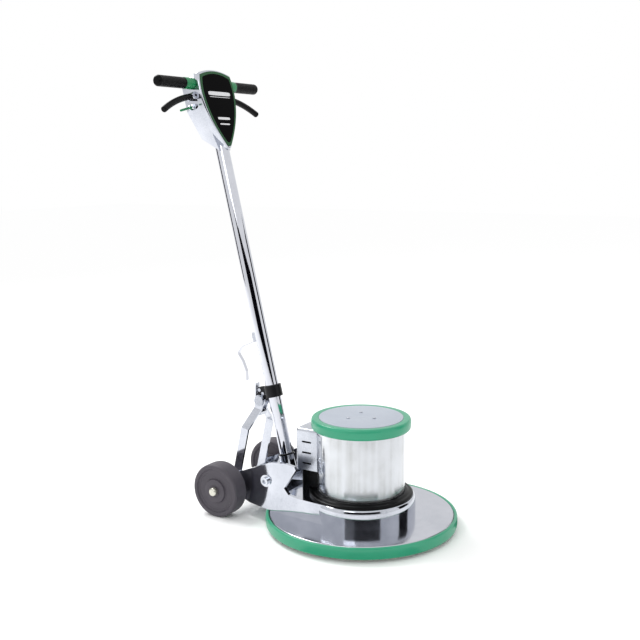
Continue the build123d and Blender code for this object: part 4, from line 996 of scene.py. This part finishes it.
# ------------------------------------------------------------------ studio
@dataclass
class Studio:
    """Pale floor, soft light, camera, and dark cards that only reflections see; sizes in metres."""

    camera_place: tuple[float, float, float] = (-2.1834, -1.2195, 0.9979)
    heading: float = radians(-58.31)
    pitch: float = radians(9.67)
    roll: float = radians(-0.38)
    lens: float = 53.69
    floor_half: float = 14.0
    floor_white: str = "FEFEFE"
    card_black: str = "0B0A0E"
    card_steps: int = 25
    aim: tuple[float, float, float] = (0.0, 0.1, 0.35)  # where the lights point
    # a card's name, its two bearings, its near and far reach, and its height at each
    dark_cards: tuple[tuple[str, tuple, tuple, tuple], ...] = (
        ("floor_card_front", (-38, 38), (0.268, 0.36), (0.003, 0.003)),
        ("floor_card_side", (84, 128), (0.268, 0.36), (0.003, 0.003)),
        ("upright_card_front", (-34, 40), (3.4, 3.4), (0.25, 1.7)),
        ("upright_card_right", (84, 112), (3.0, 3.0), (0.05, 1.9)),
        ("upright_card_left", (-118, -96), (3.2, 3.2), (0.05, 1.9)),
    )
    # a light's name, place, side and power in watts
    softboxes: tuple[tuple[str, tuple[float, float, float], float, float], ...] = (
        ("key_softbox", (0.2, 2.2, 2.8), 1.2, 60.0),
        ("front_softbox", (-3.0, -0.2, 2.2), 1.4, 12.0),
    )

    def camera(self) -> None:
        """Places the camera from its heading, downward pitch and roll."""
        forward = np.array(
            [
                -sin(self.heading) * cos(self.pitch),
                cos(self.heading) * cos(self.pitch),
                -sin(self.pitch),
            ]
        )
        right = np.cross(forward, UPRIGHT)
        right /= np.linalg.norm(right)
        up = np.cross(right, forward)
        turned_right = cos(self.roll) * right + sin(self.roll) * up
        turned_up = np.cross(turned_right, forward)
        lens = bpy.data.cameras.new("studio_camera")
        lens.lens = self.lens
        lens.sensor_width = 36.0
        lens.clip_end = 100.0
        camera = bpy.data.objects.new("studio_camera", lens)
        bpy.context.scene.collection.objects.link(camera)
        axes = Matrix([turned_right, turned_up, -forward]).transposed().to_4x4()
        camera.matrix_world = Matrix.Translation(self.camera_place) @ axes
        bpy.context.scene.camera = camera

    def floor(self) -> None:
        """Lays the pale floor."""
        half = self.floor_half
        corners = [(-half, -half, 0), (half, -half, 0), (half, half, 0), (-half, half, 0)]
        points = np.array(corners, float)
        face = np.array([[0, 1, 2, 3]])
        ground = self.plain("studio_floor", points, face, self.floor_white, 0.9)

    def plain(
        self, name: str, points: np.ndarray, faces: np.ndarray, colour: str, roughness: float
    ) -> bpy.types.Object:
        """Makes a stage object with a matt paper material.

        Args:
            name: The object's name.
            points: Its corners.
            faces: Its faces.
            colour: sRGB hex.
            roughness: How matt it is.

        Returns:
            The object.
        """
        mesh = bpy.data.meshes.new(name)
        mesh.from_pydata(points.tolist(), [], faces.tolist())
        paper = bpy.data.materials.new(f"{name}_paper")
        paper.use_nodes = True
        shader = paper.node_tree.nodes["Principled BSDF"]
        shader.inputs["Base Color"].default_value = linear(colour)
        shader.inputs["Roughness"].default_value = roughness
        shader.inputs["Specular IOR Level"].default_value = 0.0
        mesh.materials.append(paper)
        sheet = bpy.data.objects.new(name, mesh)
        bpy.context.scene.collection.objects.link(sheet)
        return sheet

    def card(
        self,
        name: str,
        angles: tuple[float, float],
        reach: tuple[float, float],
        rise: tuple[float, float],
    ) -> None:
        """Stands or lays a dark card that follows a circle about the spindle.

        It shows only in reflections. Its grid is (radius cos a, radius sin a, height), with radius
        and height going together.

        Args:
            name: The card's name.
            angles: Bearing of its two ends from the camera's side, in degrees, rightwards.
            reach: Distance from the spindle at its near and far edge.
            rise: Height at its near and far edge.
        """
        toward = np.arctan2(self.camera_place[1], self.camera_place[0])
        bearing = toward + np.radians(np.linspace(angles[0], angles[1], self.card_steps))
        share = np.array([0.0, 1.0])
        radius = reach[0] + (reach[1] - reach[0]) * share
        height = rise[0] + (rise[1] - rise[0]) * share
        x = radius[:, None] * np.cos(bearing)
        y = radius[:, None] * np.sin(bearing)
        z = np.broadcast_to(height[:, None], x.shape)
        points = np.stack([x, y, z], -1).reshape(-1, 3)
        faces = grid_faces(2, bearing.size, False, False)
        sheet = self.plain(name, points, faces, self.card_black, 1.0)
        sheet.visible_camera = False
        sheet.visible_diffuse = False
        sheet.visible_shadow = False

    def light(
        self, name: str, place: tuple[float, float, float], size: float, power: float
    ) -> None:
        """Hangs a square soft light that faces the machine.

        Args:
            name: The light's name.
            place: Where it hangs.
            size: Its side.
            power: Its power in watts.
        """
        lamp = bpy.data.lights.new(name, "AREA")
        lamp.size = size
        lamp.energy = power
        hung = bpy.data.objects.new(name, lamp)
        bpy.context.scene.collection.objects.link(hung)
        toward = Vector(self.aim) - Vector(place)
        turned = toward.to_track_quat("-Z", "Y").to_matrix().to_4x4()
        hung.matrix_world = Matrix.Translation(place) @ turned

    def build(self) -> None:
        """Builds the whole studio."""
        self.camera()
        self.floor()
        for card in self.dark_cards:
            self.card(*card)
        world = bpy.data.worlds.new("studio_world")
        bpy.context.scene.world = world
        world.use_nodes = True
        sky = world.node_tree.nodes["Background"]
        sky.inputs["Color"].default_value = (1.0, 1.0, 1.0, 1.0)
        sky.inputs["Strength"].default_value = 1.0
        for softbox in self.softboxes:
            self.light(*softbox)
        bpy.context.scene.view_settings.view_transform = "Standard"


def main() -> None:
    """Builds the studio and every sub-assembly."""
    logging.basicConfig(level=logging.INFO, format="%(message)s")
    Studio().build()
    paint_nodes()
    for assembly in (Deck(), Motor(), Undercarriage(), Handle()):
        assembly.dress()
        LOG.info("%s done", type(assembly).__name__)


if __name__ == "__main__":
    main()
